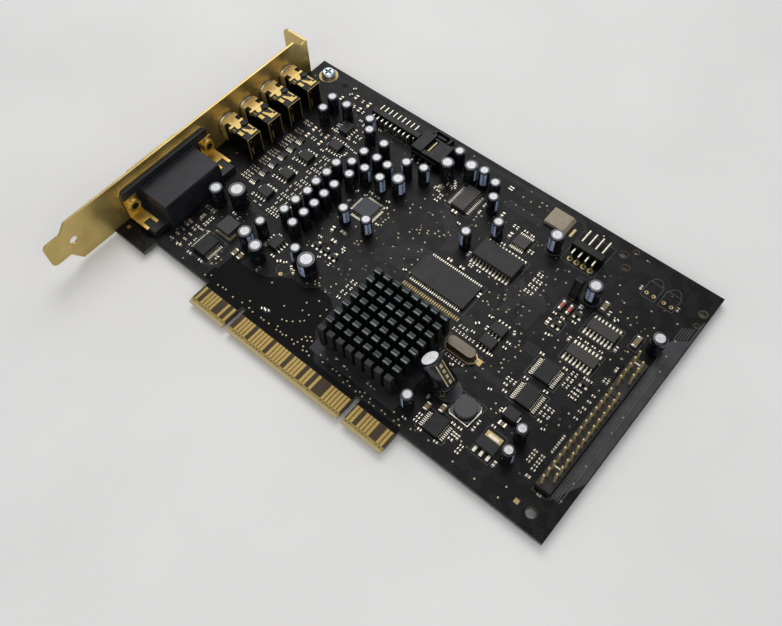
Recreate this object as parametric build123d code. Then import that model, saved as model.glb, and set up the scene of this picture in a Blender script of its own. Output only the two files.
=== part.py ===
from build123d import *
from math import cos, radians, sin, tan
import os

# A full-height PCI sound card, lying flat with its component side up.
# Modelling axes: X runs along the card from the bracket's inner face, Y runs up from the board's
# lower shoulder, Z rises from the component face. save() shifts them to the edge connector's tip.
# Small repeated rounds are many-sided prisms, which keeps the facets of the whole card few.
small_round_count = 14
large_round_count = 16

# Circuit board
board_thickness = 1.57
board_start = 0.6
board_end = 170.2
top_margin = 4.83
tab_end = 15.0
tab_depth = 5.3
lower_holes = [(163.1, 5.1, 1.6)]
upper_holes = [(167.8, 9.0, 1.2), (168.2, 13.9, 0.85), (137.0, 5.2, 1.45), (140.3, 9.2, 1.15)]
upper_holes += [(139.8, 1.9, 0.8), (15.7, 5.0, 1.1)]

# Edge connector: two rows of contacts, with key slots where two positions are left out
contact_pitch = 1.27
contact_count = 62
contact_width = 0.97
contact_plating = 0.06
first_contact = 41.605
tongue_margin = 1.235
tongue_depth = 8.25
bevel_length = 1.75
bevel_depth = 0.45
contact_reach = 5.4
key_width = 1.88
key_after = (11.5, 49.5)
front_gaps = {2, 7, 8, 10, 14, 19, 25, 31, 36, 39, 41, 42, 43, 54, 59, 60}
back_gaps = {1, 3, 7, 9, 10, 11, 16, 21, 27, 33, 39, 40, 41, 45, 53, 59, 60}

# Bracket: one folded sheet
bracket_sheet = 0.86
bracket_width = 18.42
bracket_drop = 1.42
bracket_shoulder = -18.5
bracket_tip = -28.4
bracket_taper = 3.1
tongue_width = 10.2
tongue_low = 3.6
tongue_corner = 2.0
tongue_hole = 1.5
tongue_hole_level = 8.1
tab_reach = 11.43
tab_top = 14.4
tab_corner = 2.5
relief_length = 6.1
relief_low = 13.6
screw_notch = 4.42
notch_depth = 5.6
foot_length = 12.0
foot_edge = 3.8
foot_root = 7.1

# Screw through the board into the bracket's foot
screw_x = 7.3
screw_above_jack = 14.48
screw_above_bend = 2.0
screw_radius = 1.5
screw_head = 2.7
screw_head_height = 2.1
cross_width = 0.8
cross_depth = 1.1
clearance = 0.1

# Audio jacks
jack_count = 4
jack_pitch = 10.04
first_jack = 49.0
jack_width = 6.2
jack_height = 9.4
jack_back = 14.2
jack_front = 0.9
jack_axis = 6.4
jack_nose = 2.9
jack_nose_reach = 0.6
plug_radius = 1.8
plug_depth = 13.0
shield_sheet = 0.3
shield_length = 2.0
shield_skirt = 7.4
waist_width = 3.4
waist_length = 2.2
crossbar_length = 1.0
spring_start = 8.9
spring_width = 3.6
leg_width = 0.45

# High-density D-sub port
port_y = 20.1
port_z = 7.9
flange_length = 39.14
flange_height = 12.55
flange_sheet = 0.8
flange_corner = 2.0
port_screws = 33.32
shell_length = 24.7
shell_height = 7.9
shell_slope = 10.0
shell_corner = 2.4
shell_reach = 5.9
shell_sheet = 0.4
collar_length = 37.0
collar_depth = 1.5
collar_top = 13.4
port_back = 15.0
port_body_length = 24.1
port_body_top = 10.2
wing_back = 13.8
wing_top = 2.6
lip = 0.5
strap_width = 5.2
strap_sheet = 0.4
strap_top = 10.4
boss_radius = 2.2
boss_depth = 1.8
fork_gap = 1.4
fork_start = 7.8
fork_back = 11.2
standoff_across = 4.75
standoff_length = 5.0
standoff_thread = 1.42
thread_depth = 4.0

# Processor and its pin-fin heat sink
sink_x = 98.6
sink_y = 19.6
sink_length = 28.0
sink_width = 27.1
sink_base = 2.0
sink_height = 10.4
sink_pins = 8
pin_length = 2.4
pin_depth = 1.8
chip_size = 26.0
cap_size = 22.0
substrate = 0.9
chip_height = 2.6

# Flat packages: name, then length along X, width along Y, height and the places of each
seat = 0.1
flat_packages = {
    "memory_chip": (20.95, 10.16, 1.0, [(99.3, 48.6)]),
    "codec_chip": (7.0, 7.0, 1.4, [(60.8, 54.4)]),
    "receiver_chip": (5.3, 10.2, 1.75, [(84.2, 78.7)]),
    "converter_chips": (5.3, 7.2, 1.75, [(142.2, 42.3), (142.6, 32.3), (29.7, 9.7)]),
    "switching_controller": (5.3, 6.2, 1.75, [(127.5, 8.2)]),
    "clock_buffer": (5.0, 4.4, 1.0, [(109.0, 76.2)]),
    "line_amplifiers": (4.9, 3.9, 1.5, [(33.7, 68.8), (28.9, 58.6), (28.9, 48.5), (28.9, 38.3),
                                       (122.8, 45.0), (122.8, 39.6)]),
    "output_amplifiers": (3.9, 4.9, 1.5, [(46.7, 25.2), (31.2, 77.3)]),
    "shielded_inductor": (6.0, 6.0, 2.9, [(30.6, 19.4)]),
}

# Small-outline chips whose leads are drawn: length, width, height, leads a side, places
lead_pitch = 1.27
lead_width = 0.42
lead_sheet = 0.2
lead_reach = 1.1
lead_foot = 0.6
outline_chips = {
    "bus_bridge": (15.4, 7.5, 2.35, 12, [(107.4, 65.5)]),
    "logic_chips": (9.9, 3.9, 1.5, 8, [(147.4, 64.6), (147.4, 53.4)]),
}

# Electrolytic capacitors
can_height = 7.6
small_can = 2.0
medium_can = 2.5
large_can = 3.15
small_cans = [
    (21.4, 81.2), (28.0, 81.5), (22.4, 75.2), (39.0, 81.5), (42.2, 77.6), (50.4, 75.8), (47.3, 68.9),
    (52.6, 69.5), (57.5, 69.3), (47.1, 62.9), (52.4, 63.5), (59.0, 63.6), (43.3, 59.2), (50.0, 58.3),
    (43.6, 54.1), (49.1, 51.8), (43.5, 48.9), (49.1, 46.8), (44.0, 44.2), (49.3, 41.8), (43.5, 39.0),
    (49.2, 36.9), (43.3, 33.8), (49.2, 31.6), (61.7, 74.3), (67.9, 76.0), (72.7, 89.5), (84.4, 87.9),
    (90.3, 86.0), (93.4, 80.8), (100.8, 73.6), (94.9, 64.1), (67.0, 47.4), (58.1, 46.4), (40.6, 25.3),
    (56.9, 24.8), (117.0, 8.2), (148.2, 20.5), (149.0, 13.0),
]
medium_cans = [(64.2, 67.0), (72.6, 82.9), (79.6, 86.9), (19.2, 25.7), (39.7, 19.2), (46.3, 17.4)]
medium_cans += [(118.3, 81.1), (138.2, 72.7), (162.7, 69.1)]
large_cans = [(25.3, 29.7), (62.7, 23.8)]
leaning_radius = 3.9
leaning_length = 11.2
leaning_angle = 34.0
leaning_gap = 0.15
leaning_y = 19.6
leaning_lift = 2.45
wire_size = 0.5
wire_spacing = 3.5
wire_run = 0.9

# Long pin header with two bodies, and the wire links across its rows
row_pitch = 2.54
header_x = 161.8
header_top = 61.1
header_body = 2.5
post_size = 0.64
post_top = 8.6
header_split = 6
header_rows = 20
left_gaps = {6}
right_gaps = {1, 5, 6, 20}
links = (2, 18)
link_lift = 5.4
link_size = 0.5

# Right-angle headers: first pin, pins, pitch, pin height, body depth, height, legs and pin reach
angle_headers = {
    "panel_header": dict(x=36.5, count=10, pitch=2.0, level=3.5, y=87.2, depth=2.3, height=4.5,
                         leg=0.5, leg_y=86.6, reach=3.0, gaps={10}),
    "drive_header": dict(x=124.5, count=4, pitch=2.54, level=2.6, y=83.8, depth=2.8, height=4.0,
                         leg=0.6, leg_y=81.4, reach=6.0, gaps=set()),
}
end_wall = 0.6

# Boxed audio connector with a latch window
box_x = 63.0
box_y = 82.7
box_length = 12.6
box_depth = 9.8
box_height = 5.0
box_nose = 7.8
box_nose_depth = 1.9
box_wall = 0.9
box_pins = 4
latch_width = 1.6
latch_length = 5.2

# Crystals
crystal_x = 118.3
crystal_y = 32.0
crystal_length = 10.2
crystal_width = 3.7
crystal_height = 3.5
crystal_flange = 0.35
flange_rim = 0.3
oscillator = (113.9, 91.0, 8.5, 7.0, 1.5)
oscillator_bevel = 1.1

# Power stage
choke_x = 131.0
choke_y = 17.7
choke_base = 7.6
choke_base_height = 0.9
choke_radius = 3.5
choke_height = 2.6
regulator_x = 142.6
regulator_y = 12.8
regulator_length = 6.5
regulator_width = 3.6
regulator_height = 1.8
regulator_tab = 5.4
regulator_tab_reach = 2.4
regulator_leg = 1.0
regulator_leg_pitch = 2.3
regulator_leg_reach = 2.1
regulator_sheet = 0.5
rectifier = (142.4, 24.5, 4.4, 3.6, 2.2)
rectifier_lead = 0.6
rectifier_lead_width = 2.0
film_x = 133.4
film_y = 69.6
film_length = 2.8
film_width = 2.9
film_height = 7.4
film_lean = 18.0
glass_diodes = [(132.6, 64.2), (135.4, 64.2)]
diode_radius = 0.75
diode_length = 3.6
ceramic_blocks = [(157.3, 67.8, 1.7, 4.0), (143.2, 72.4, 1.6, 3.4), (125.8, 13.6, 1.5, 2.6)]
ceramic_blocks += [(121.9, 11.3, 1.5, 2.6), (39.0, 13.8, 1.5, 2.6), (41.4, 13.8, 1.5, 2.6)]
ceramic_height = 1.2

# Values worked out from the sizes above
tongue_start = first_contact - tongue_margin
tongue_end = first_contact + (contact_count - 1) * contact_pitch + tongue_margin
contact_end = bevel_length - tongue_depth
key_places = [first_contact + after * contact_pitch for after in key_after]
key_contacts = {int(after) + step for after in key_after for step in (1, 2)}
bracket_low = -bracket_drop
bracket_high = bracket_low + bracket_width
foot_level = -board_thickness - bracket_sheet
jack_places = [first_jack + k * jack_pitch for k in range(jack_count)]
screw_y = jack_places[-1] + screw_above_jack
board_height = screw_y + top_margin
bracket_bend = screw_y - screw_above_bend
relief_start = bracket_bend - relief_length
foot_top = screw_y + foot_edge
foot_bottom = bracket_bend - foot_root
tooling_holes = lower_holes + [(x, board_height - inset, radius) for x, inset, radius in upper_holes]
port_screw_places = [port_y - port_screws / 2, port_y + port_screws / 2]
sink_level = chip_height
leaning_run = leaning_length * sin(radians(leaning_angle)) + leaning_radius * cos(radians(leaning_angle))
leaning_x = sink_x + sink_length / 2 + leaning_gap + leaning_run
origin = Vector((tongue_start + tongue_end) / 2, -tongue_depth, -board_thickness / 2)
along_x = (1, 0, 0)
along_y = (0, 1, 0)
on_base = (Align.CENTER, Align.CENTER, Align.MIN)


def disc(radius, sides):
    """Round face drawn with a few straight sides."""
    return RegularPolygon(radius, sides)


def drum(x, y, z, radius, height, sides):
    """Upright round body drawn with a few straight sides, standing on the level z."""
    return Pos(x, y, z) * extrude(disc(radius, sides), height)


def block(x, y, z, length, width, height):
    """Box centred on x and y that stands on the level z."""
    return Pos(x, y, z) * Box(length, width, height, align=on_base)


def slab(x0, x1, y0, y1, z0, z1):
    """Box between two corners."""
    return block((x0 + x1) / 2, (y0 + y1) / 2, z0, x1 - x0, y1 - y0, z1 - z0)


def rod_x(x0, x1, y, z, radius):
    """Round rod along X."""
    return Pos(x0, y, z) * Rot(0, 90, 0) * Cylinder(radius, x1 - x0, align=on_base)


def prism(points, direction, length):
    """Closed polygon of points in space, pushed along a direction."""
    return extrude(make_face(Polyline(*points, close=True)), length, dir=direction)


def sheet_x(face, x0, x1):
    """Face drawn in Y and Z, pushed along X between two levels."""
    return extrude(Plane.YZ.offset(x0) * face, x1 - x0, dir=along_x)


def save(name, *solids):
    """Writes one node, shifted to the part's own origin."""
    placed = [solid.moved(Location(-origin)) for shape in solids for solid in shape.solids()]
    whole = placed[0] if len(placed) == 1 else Compound(placed)
    export_step(whole, os.path.join("parts", name + ".step"))


def board():
    corners = [(board_start, board_height), (board_start, -tab_depth), (tab_end, -tab_depth)]
    corners += [(tab_end, 0), (tongue_start, 0), (tongue_start, -tongue_depth)]
    corners += [(tongue_end, -tongue_depth), (tongue_end, 0), (board_end, 0), (board_end, board_height)]
    outline = make_face(Polyline(*corners, close=True))
    for x in key_places:
        outline -= Pos(x, -tongue_depth / 2) * SlotCenterToCenter(tongue_depth, key_width, rotation=90)
    for x, y, radius in tooling_holes:
        outline -= Pos(x, y) * disc(radius, small_round_count)
    outline -= Pos(screw_x, screw_y) * disc(screw_radius + clearance, small_round_count)
    plate = Pos(0, 0, -board_thickness) * extrude(outline, board_thickness)
    for face, inward in ((0, -bevel_depth), (-board_thickness, bevel_depth)):
        edge = [(tongue_start, -tongue_depth, face), (tongue_start, contact_end, face)]
        edge.append((tongue_start, -tongue_depth, face + inward))
        plate -= prism(edge, along_x, tongue_end - tongue_start)
    return plate


def edge_contacts(level, gaps):
    places = [i for i in range(1, contact_count + 1) if i not in gaps | key_contacts]
    middle = contact_end + contact_reach / 2
    return [block(first_contact + (i - 1) * contact_pitch, middle, level,
                  contact_width, contact_reach, contact_plating) for i in places]


def port_profile(grow, ease):
    """D-shaped outline of the port, grown outward by a distance, with its corners eased."""
    half = shell_height / 2 + grow
    wide = shell_length / 2 + grow
    narrow = wide - 2 * half * tan(radians(shell_slope))
    corners = [(-wide, half), (wide, half), (narrow, -half), (-narrow, -half)]
    outline = make_face(Polyline(*corners, close=True))
    return Pos(port_y, port_z) * ease(outline.vertices(), shell_corner + grow)


def half_chamfer(corners, size):
    """Flat on each corner that stays outside a round of the same size."""
    return chamfer(corners, size / 2)


def bracket():
    tongue_high = tongue_low + tongue_width
    taper_end = bracket_shoulder - bracket_taper
    upper = [(bracket_bend, tab_top), (relief_start + (bracket_high - relief_low), relief_low)]
    upper += [(relief_start, bracket_high), (bracket_shoulder, bracket_high), (taper_end, tongue_high)]
    tongue = [(bracket_tip, tongue_high), (bracket_tip, tongue_low)]
    lower = [(taper_end, tongue_low), (bracket_shoulder, bracket_low), (bracket_bend, bracket_low)]
    outline = make_face(Polyline(*upper, *tongue, *lower, close=True))
    outline = fillet([v for v in outline.vertices() if v.X == bracket_tip], tongue_corner)
    outline -= Pos(bracket_shoulder, tongue_hole_level) * disc(tongue_hole, large_round_count)
    for y in jack_places:
        outline -= Pos(y, jack_axis) * disc(jack_nose + clearance, large_round_count)
    outline -= port_profile(clearance, half_chamfer)
    plate = sheet_x(outline, -bracket_sheet, 0)
    ear = slab(-tab_reach, 0, bracket_bend - bracket_sheet, bracket_bend, bracket_low, tab_top)
    ear = fillet(ear.edges().filter_by(Axis.Y).group_by(Axis.Z)[-1].sort_by(Axis.X)[0], tab_corner)
    notch_x = -bracket_sheet - (tab_reach - bracket_sheet) / 2
    notch_top = bracket_low + notch_depth
    notch = slab(notch_x - screw_notch / 2, notch_x + screw_notch / 2, bracket_bend - 2 * bracket_sheet,
                 bracket_bend + bracket_sheet, bracket_low - 1, notch_top)
    round_end = Pos(notch_x, bracket_bend - bracket_sheet / 2, notch_top) * Rot(90, 0, 0)
    ear -= notch + round_end * Cylinder(screw_notch / 2, 3 * bracket_sheet)
    web = slab(-bracket_sheet, 0, foot_bottom, bracket_bend, foot_level, bracket_low)
    rim = screw_head + 2 * clearance
    foot = [(-bracket_sheet, foot_bottom), (screw_x - rim, foot_bottom), (foot_length, screw_y - rim)]
    foot += [(foot_length, foot_top), (screw_x - rim, foot_top), (screw_x - rim, bracket_bend)]
    foot.append((-bracket_sheet, bracket_bend))
    foot = make_face(Polyline(*foot, close=True)) - Pos(screw_x, screw_y) * disc(
        screw_radius + clearance, small_round_count)
    return plate + ear + web + Pos(0, 0, foot_level) * extrude(foot, bracket_sheet)


def bracket_screw():
    head = drum(screw_x, screw_y, 0, screw_head, screw_head_height, large_round_count)
    head = chamfer(head.edges().group_by(Axis.Z)[-1], screw_head_height / 3)
    head += drum(screw_x, screw_y, foot_level, screw_radius, -foot_level, small_round_count)
    arm = 1.2 * screw_head
    for length, width in ((arm, cross_width), (cross_width, arm)):
        head -= block(screw_x, screw_y, screw_head_height - cross_depth, length, width, cross_depth)
    return head


def jack_housing(y):
    half = jack_width / 2
    body = slab(jack_front, jack_back, y - half, y + half, 0, jack_height)
    nose = Pos(y, jack_axis) * disc(jack_nose, large_round_count)
    body += sheet_x(nose, -bracket_sheet - jack_nose_reach, jack_front)
    return body - rod_x(-bracket_sheet - jack_nose_reach, plug_depth, y, jack_axis, plug_radius)


def jack_shield(y):
    """Gold sheet folded over the jack's front: top, two skirts, and a cross bar on a narrow waist."""
    half = jack_width / 2
    end = jack_front + shield_length
    bar = end + waist_length
    top = jack_height + shield_sheet
    low = top - shield_skirt
    fold = [(y - half - shield_sheet, low), (y - half - shield_sheet, top), (y + half + shield_sheet, top)]
    fold += [(y + half + shield_sheet, low), (y + half, low), (y + half, jack_height)]
    fold += [(y - half, jack_height), (y - half, low)]
    shield = sheet_x(make_face(Polyline(*fold, close=True)), jack_front, end)
    shield += slab(end, bar, y - waist_width / 2, y + waist_width / 2, jack_height, top)
    return shield + slab(bar, bar + crossbar_length, y - half, y + half, jack_height, top)


def jack_contacts(y):
    """Spring blade on top, and the two legs down the rear corners."""
    half = jack_width / 2
    top = jack_height + shield_sheet
    back = jack_back + shield_sheet
    blade = [(spring_start, y, jack_height), (spring_start, y, top), (back, y, top), (back, y, 0)]
    blade += [(jack_back, y, 0), (jack_back, y, jack_height)]
    inner = y + half - leg_width
    solids = [prism([(x, inner, z) for x, _, z in blade], along_y, leg_width)]
    solids[0] += slab(spring_start, jack_back, y + half - spring_width, inner, jack_height, top)
    solids.append(slab(jack_back, back, y - half, y - half + leg_width, 0, jack_height))
    return solids


def port_shell():
    flange = Rectangle(flange_length, flange_height)
    flange = Pos(port_y, port_z) * chamfer(flange.vertices(), flange_corner)
    hollow = port_profile(-shell_sheet, fillet)
    plate = sheet_x(flange - hollow, 0, flange_sheet)
    tube = port_profile(0, fillet) - hollow
    return plate + sheet_x(tube, -shell_reach, flange_sheet)


def port_housing():
    """Plastic body: insert inside the shell, collar behind the flange, block and two end wings."""
    collar_back = flange_sheet + collar_depth
    half = port_body_length / 2
    body = sheet_x(port_profile(-shell_sheet - clearance, chamfer), lip - shell_reach, flange_sheet)
    body += slab(flange_sheet, collar_back, port_y - collar_length / 2, port_y + collar_length / 2,
                 0, collar_top)
    top = [(collar_back, 0), (port_back, 0), (port_back, port_body_top - 2 * lip)]
    top += [(port_back - lip, port_body_top), (collar_back, port_body_top)]
    body += prism([(x, port_y - half, z) for x, z in top], along_y, port_body_length)
    body += slab(collar_back, wing_back, port_y - collar_length / 2, port_y + collar_length / 2,
                 0, wing_top)
    return body


def ground_strap(y):
    """Gold strap at one end of the port: upright plate, threaded boss and a forked foot."""
    start = flange_sheet + collar_depth
    half = strap_width / 2
    plate = slab(start, start + strap_sheet, y - half, y + half, wing_top, strap_top)
    boss = Pos(y, port_z) * disc(boss_radius, small_round_count)
    plate += sheet_x(boss, start, start + strap_sheet + boss_depth)
    plate += slab(start, fork_start, y - half, y + half, wing_top, wing_top + strap_sheet)
    for side in (-1, 1):
        middle = y + side * (fork_gap + half) / 2
        plate += block((fork_start + fork_back) / 2, middle, wing_top,
                       fork_back - fork_start, half - fork_gap, strap_sheet)
    return plate


def port_standoff(y):
    """Hexagonal standoff on the bracket's outer face, with a blind thread in its end."""
    across = RegularPolygon(standoff_across / 2, 6, major_radius=False)
    outer = -bracket_sheet - standoff_length
    nut = sheet_x(Pos(y, port_z) * across, outer, -bracket_sheet)
    return nut - rod_x(outer, outer + thread_depth, y, port_z, standoff_thread)


def heat_sink():
    base = block(sink_x, sink_y, sink_level, sink_length, sink_width, sink_base)
    step_x = (sink_length - pin_length) / (sink_pins - 1)
    step_y = (sink_width - pin_depth) / (sink_pins - 1)
    low = sink_level + sink_base
    pins = [Pos(sink_x, sink_y) * spot * block(0, 0, low, pin_length, pin_depth, sink_height - sink_base)
            for spot in GridLocations(step_x, step_y, sink_pins, sink_pins)]
    return base + pins


def processor():
    base = block(sink_x, sink_y, 0, chip_size, chip_size, substrate)
    return base + block(sink_x, sink_y, substrate, cap_size, cap_size, chip_height - substrate)


def gull_lead(x, y, side, width, height):
    """One lead of a small-outline chip: it slopes out of the body's side and turns along the board."""
    root = width / 2
    knee = root + lead_reach - lead_foot
    level = seat + height / 2
    bend = [(root, level), (knee, lead_sheet), (root + lead_reach, lead_sheet)]
    bend += [(root + lead_reach, 0), (knee - lead_sheet, 0), (root, level - lead_sheet)]
    points = [(x - lead_width / 2, y + side * out, z) for out, z in bend]
    return prism(points, along_x, lead_width)


def lead_row(x, y, width, height, count):
    spread = [x + (i - (count - 1) / 2) * lead_pitch for i in range(count)]
    return [gull_lead(at, y, side, width, height) for side in (-1, 1) for at in spread]


def cans(places, radius):
    return [drum(x, y, 0, radius, can_height, small_round_count) for x, y in places]


def leaning_can():
    tilt = Pos(leaning_x, leaning_y, leaning_lift) * Rot(0, -leaning_angle, 0)
    return tilt * extrude(disc(leaning_radius, large_round_count), leaning_length)


def leaning_wires():
    """Two wires from the leaning capacitor's lower end down to the board."""
    foot = leaning_x + wire_run
    up = wire_size * sin(radians(leaning_angle))
    back = wire_size * cos(radians(leaning_angle))
    shape = [(leaning_x + back / 2, leaning_lift + up / 2), (foot, 0), (foot - wire_size, 0)]
    shape.append((leaning_x - back / 2, leaning_lift - up / 2))
    return [prism([(x, leaning_y + side * wire_spacing / 2, z) for x, z in shape], along_y, wire_size)
            for side in (-1, 1)]


def header_rows_of(position):
    """Columns that hold a post at one position of the long header, as sides -1 and 1."""
    return [side for side, gaps in ((-1, left_gaps), (1, right_gaps)) if position not in gaps]


def header_spot(position):
    return header_top - (position - 1) * row_pitch


def header_bodies():
    solids = []
    for first, last in ((1, header_split), (header_split + 1, header_rows)):
        low = header_spot(last) - row_pitch / 2 + clearance
        high = header_spot(first) + row_pitch / 2 - clearance
        solids.append(slab(header_x - row_pitch, header_x + row_pitch, low, high, 0, header_body))
    return solids


def header_posts():
    return [block(header_x + side * row_pitch / 2, header_spot(position), header_body,
                  post_size, post_size, post_top - header_body)
            for position in range(1, header_rows + 1) for side in header_rows_of(position)]


def wire_links():
    inner = row_pitch - post_size
    return [block(header_x, header_spot(position), link_lift, inner, link_size, link_size)
            for position in links]


def angle_body(h):
    start = h["x"] - h["pitch"] / 2 - end_wall
    end = h["x"] + (h["count"] - 0.5) * h["pitch"] + end_wall
    return slab(start, end, h["y"], h["y"] + h["depth"], 0, h["height"])


def angle_pins(h):
    """Front pins, and the rear legs that turn down to the board."""
    half = h["leg"] / 2
    solids = []
    for i in range(h["count"]):
        x = h["x"] + i * h["pitch"]
        if i + 1 not in h["gaps"]:
            solids.append(block(x, h["y"] + h["depth"] + h["reach"] / 2, h["level"] - half,
                                h["leg"], h["reach"], h["leg"]))
        out = h["leg_y"] - half
        bend = [(h["y"], h["level"] + half), (out, h["level"] + half), (out, 0), (out + h["leg"], 0)]
        bend += [(out + h["leg"], h["level"] - half), (h["y"], h["level"] - half)]
        solids.append(prism([(x - half, y, z) for y, z in bend], along_x, h["leg"]))
    return solids


def boxed_connector():
    half = box_length / 2
    nose_front = box_y + box_depth + box_nose_depth
    body = slab(box_x - half, box_x + half, box_y, box_y + box_depth, 0, box_height)
    body += slab(box_x - box_nose / 2, box_x + box_nose / 2, box_y, nose_front, 0, box_height)
    room = half - box_wall
    body -= slab(box_x - room, box_x + room, box_y + 2 * box_wall, nose_front,
                 box_wall, box_height - box_wall)
    latch_y = box_y + box_depth / 2
    body -= block(box_x, latch_y, box_height - box_wall, latch_width, latch_length, box_wall)
    return body


def boxed_pins():
    level = box_height / 2
    spread = [box_x + (i - (box_pins - 1) / 2) * row_pitch for i in range(box_pins)]
    return [slab(x - post_size / 2, x + post_size / 2, box_y + 2 * box_wall, box_y + box_depth,
                 level - post_size / 2, level + post_size / 2) for x in spread]


def crystal_can():
    rim = Rectangle(crystal_length + 2 * flange_rim, crystal_width + 2 * flange_rim)
    rim = chamfer(rim.vertices(), crystal_width / 3)
    can = extrude(rim, crystal_flange) + extrude(SlotOverall(crystal_length, crystal_width), crystal_height)
    return Pos(crystal_x, crystal_y) * can


def oscillator_can():
    x, y, length, width, height = oscillator
    can = block(x, y, 0, length, width, height)
    return chamfer(can.edges().filter_by(Axis.Y).group_by(Axis.Z)[-1].sort_by(Axis.X)[-1], oscillator_bevel)


def choke_carrier():
    base = block(choke_x, choke_y, 0, choke_base, choke_base, choke_base_height)
    return chamfer(base.edges().filter_by(Axis.Z), choke_base / 8)


def choke_core():
    return drum(choke_x, choke_y, choke_base_height, choke_radius,
                choke_height - choke_base_height, large_round_count)


def regulator_body():
    return block(regulator_x, regulator_y, 0, regulator_length, regulator_width, regulator_height)


def regulator_metal():
    """Cooling tab behind the body and three flat legs in front."""
    back = regulator_y + regulator_width / 2
    front = regulator_y - regulator_width / 2
    solids = [slab(regulator_x - regulator_tab / 2, regulator_x + regulator_tab / 2,
                   back, back + regulator_tab_reach, 0, regulator_sheet)]
    for step in (-1, 0, 1):
        solids.append(block(regulator_x + step * regulator_leg_pitch, front - regulator_leg_reach / 2, 0,
                            regulator_leg, regulator_leg_reach, regulator_sheet))
    return solids


def rectifier_leads():
    x, y, length, _, height = rectifier
    return [block(x + side * (length + rectifier_lead) / 2, y, 0,
                  rectifier_lead, rectifier_lead_width, height / 2) for side in (-1, 1)]


def film_capacitor():
    box = Box(film_length, film_width, film_height, align=on_base)
    lift = film_width / 2 * sin(radians(film_lean))
    return Pos(film_x, film_y, lift) * Rot(-film_lean, 0, 0) * box


def diodes():
    tube = extrude(disc(diode_radius, small_round_count), diode_length / 2, both=True)
    return [Pos(x, y, diode_radius) * Rot(90, 0, 0) * tube for x, y in glass_diodes]


os.makedirs("parts", exist_ok=True)

save("circuit_board", board())
save("edge_contacts_front", *edge_contacts(0, front_gaps))
save("edge_contacts_back", *edge_contacts(-board_thickness - contact_plating, back_gaps))
save("mounting_bracket", bracket())
save("bracket_screw", bracket_screw())

for number, place in enumerate(jack_places, 1):
    save(f"jack_{number}_housing", jack_housing(place))
    save(f"jack_{number}_shield", jack_shield(place))
    save(f"jack_{number}_contacts", *jack_contacts(place))

save("port_housing", port_housing())
save("port_shell", port_shell())
save("port_ground_straps", *[ground_strap(y) for y in port_screw_places])
save("port_standoffs", *[port_standoff(y) for y in port_screw_places])

save("heat_sink", heat_sink())
save("processor", processor())
for name, (length, width, height, places) in flat_packages.items():
    save(name, *[block(x, y, seat, length, width, height) for x, y in places])
for name, (length, width, height, count, places) in outline_chips.items():
    save(name, *[block(x, y, seat, length, width, height) for x, y in places])
    save(name + "_leads", *[lead for x, y in places for lead in lead_row(x, y, width, height, count)])

save("small_capacitors", *cans(small_cans, small_can))
save("large_capacitors", *cans(medium_cans, medium_can), *cans(large_cans, large_can))
save("leaning_capacitor", leaning_can())
save("leaning_capacitor_wires", *leaning_wires())

save("pin_header_bodies", *header_bodies())
save("pin_header_posts", *header_posts())
save("wire_links", *wire_links())
for name, header in angle_headers.items():
    save(name + "_body", angle_body(header))
    save(name + "_pins", *angle_pins(header))
save("audio_connector", boxed_connector())
save("audio_connector_pins", *boxed_pins())

save("crystal_can", crystal_can())
save("oscillator_can", oscillator_can())
save("choke_carrier", choke_carrier())
save("choke_core", choke_core())
save("regulator_body", regulator_body())
save("regulator_metal", *regulator_metal())
save("rectifier_body", block(rectifier[0], rectifier[1], 0, *rectifier[2:]))
save("rectifier_leads", *rectifier_leads())
save("film_capacitor", film_capacitor())
save("glass_diodes", *diodes())
save("chip_capacitors", *[block(x, y, 0, length, width, ceramic_height)
                          for x, y, length, width in ceramic_blocks])
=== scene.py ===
import math
import random
import bmesh
import bpy
from mathutils import Matrix, Vector


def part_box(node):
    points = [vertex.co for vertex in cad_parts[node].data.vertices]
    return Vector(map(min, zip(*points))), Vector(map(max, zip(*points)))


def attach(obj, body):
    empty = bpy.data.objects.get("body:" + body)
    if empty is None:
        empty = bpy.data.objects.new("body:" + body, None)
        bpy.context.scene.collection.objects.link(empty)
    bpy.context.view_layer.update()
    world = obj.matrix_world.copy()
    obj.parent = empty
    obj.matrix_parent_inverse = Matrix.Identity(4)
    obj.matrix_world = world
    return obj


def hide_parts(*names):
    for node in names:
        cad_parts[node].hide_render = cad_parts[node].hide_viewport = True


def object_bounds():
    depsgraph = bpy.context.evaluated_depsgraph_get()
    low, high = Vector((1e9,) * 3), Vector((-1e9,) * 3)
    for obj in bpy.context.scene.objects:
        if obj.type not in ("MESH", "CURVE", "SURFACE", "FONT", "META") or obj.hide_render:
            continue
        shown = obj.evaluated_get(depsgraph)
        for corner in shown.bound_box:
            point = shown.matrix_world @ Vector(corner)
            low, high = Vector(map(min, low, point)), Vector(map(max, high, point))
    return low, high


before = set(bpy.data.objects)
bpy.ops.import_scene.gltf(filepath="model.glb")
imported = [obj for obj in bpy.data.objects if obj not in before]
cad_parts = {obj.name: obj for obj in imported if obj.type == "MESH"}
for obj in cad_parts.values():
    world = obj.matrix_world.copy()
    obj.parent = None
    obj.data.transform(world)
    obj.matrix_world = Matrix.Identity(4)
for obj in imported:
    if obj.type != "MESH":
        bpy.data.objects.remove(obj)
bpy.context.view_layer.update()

scene = bpy.context.scene
scene.view_settings.view_transform = "Standard"
mm = 0.001
sharp = 35  # degrees between two faces past which their edge stays sharp

# Places on the board are in millimetres: x from the bracket's inner face, y from the lower edge,
# z from the top face
board = {"startX": 0.6, "height": 98.43, "thickness": 1.57}
boardLow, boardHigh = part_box("circuit_board")
boardZero = Vector((boardLow.x - board["startX"] * mm, boardHigh.y - board["height"] * mm, boardHigh.z))


def spot(x, y, z=0.0):
    return boardZero + Vector((x, y, z)) * mm


def local(x, y, z):
    # a place in a pattern's own frame
    return x * mm, y * mm, z * mm


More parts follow.
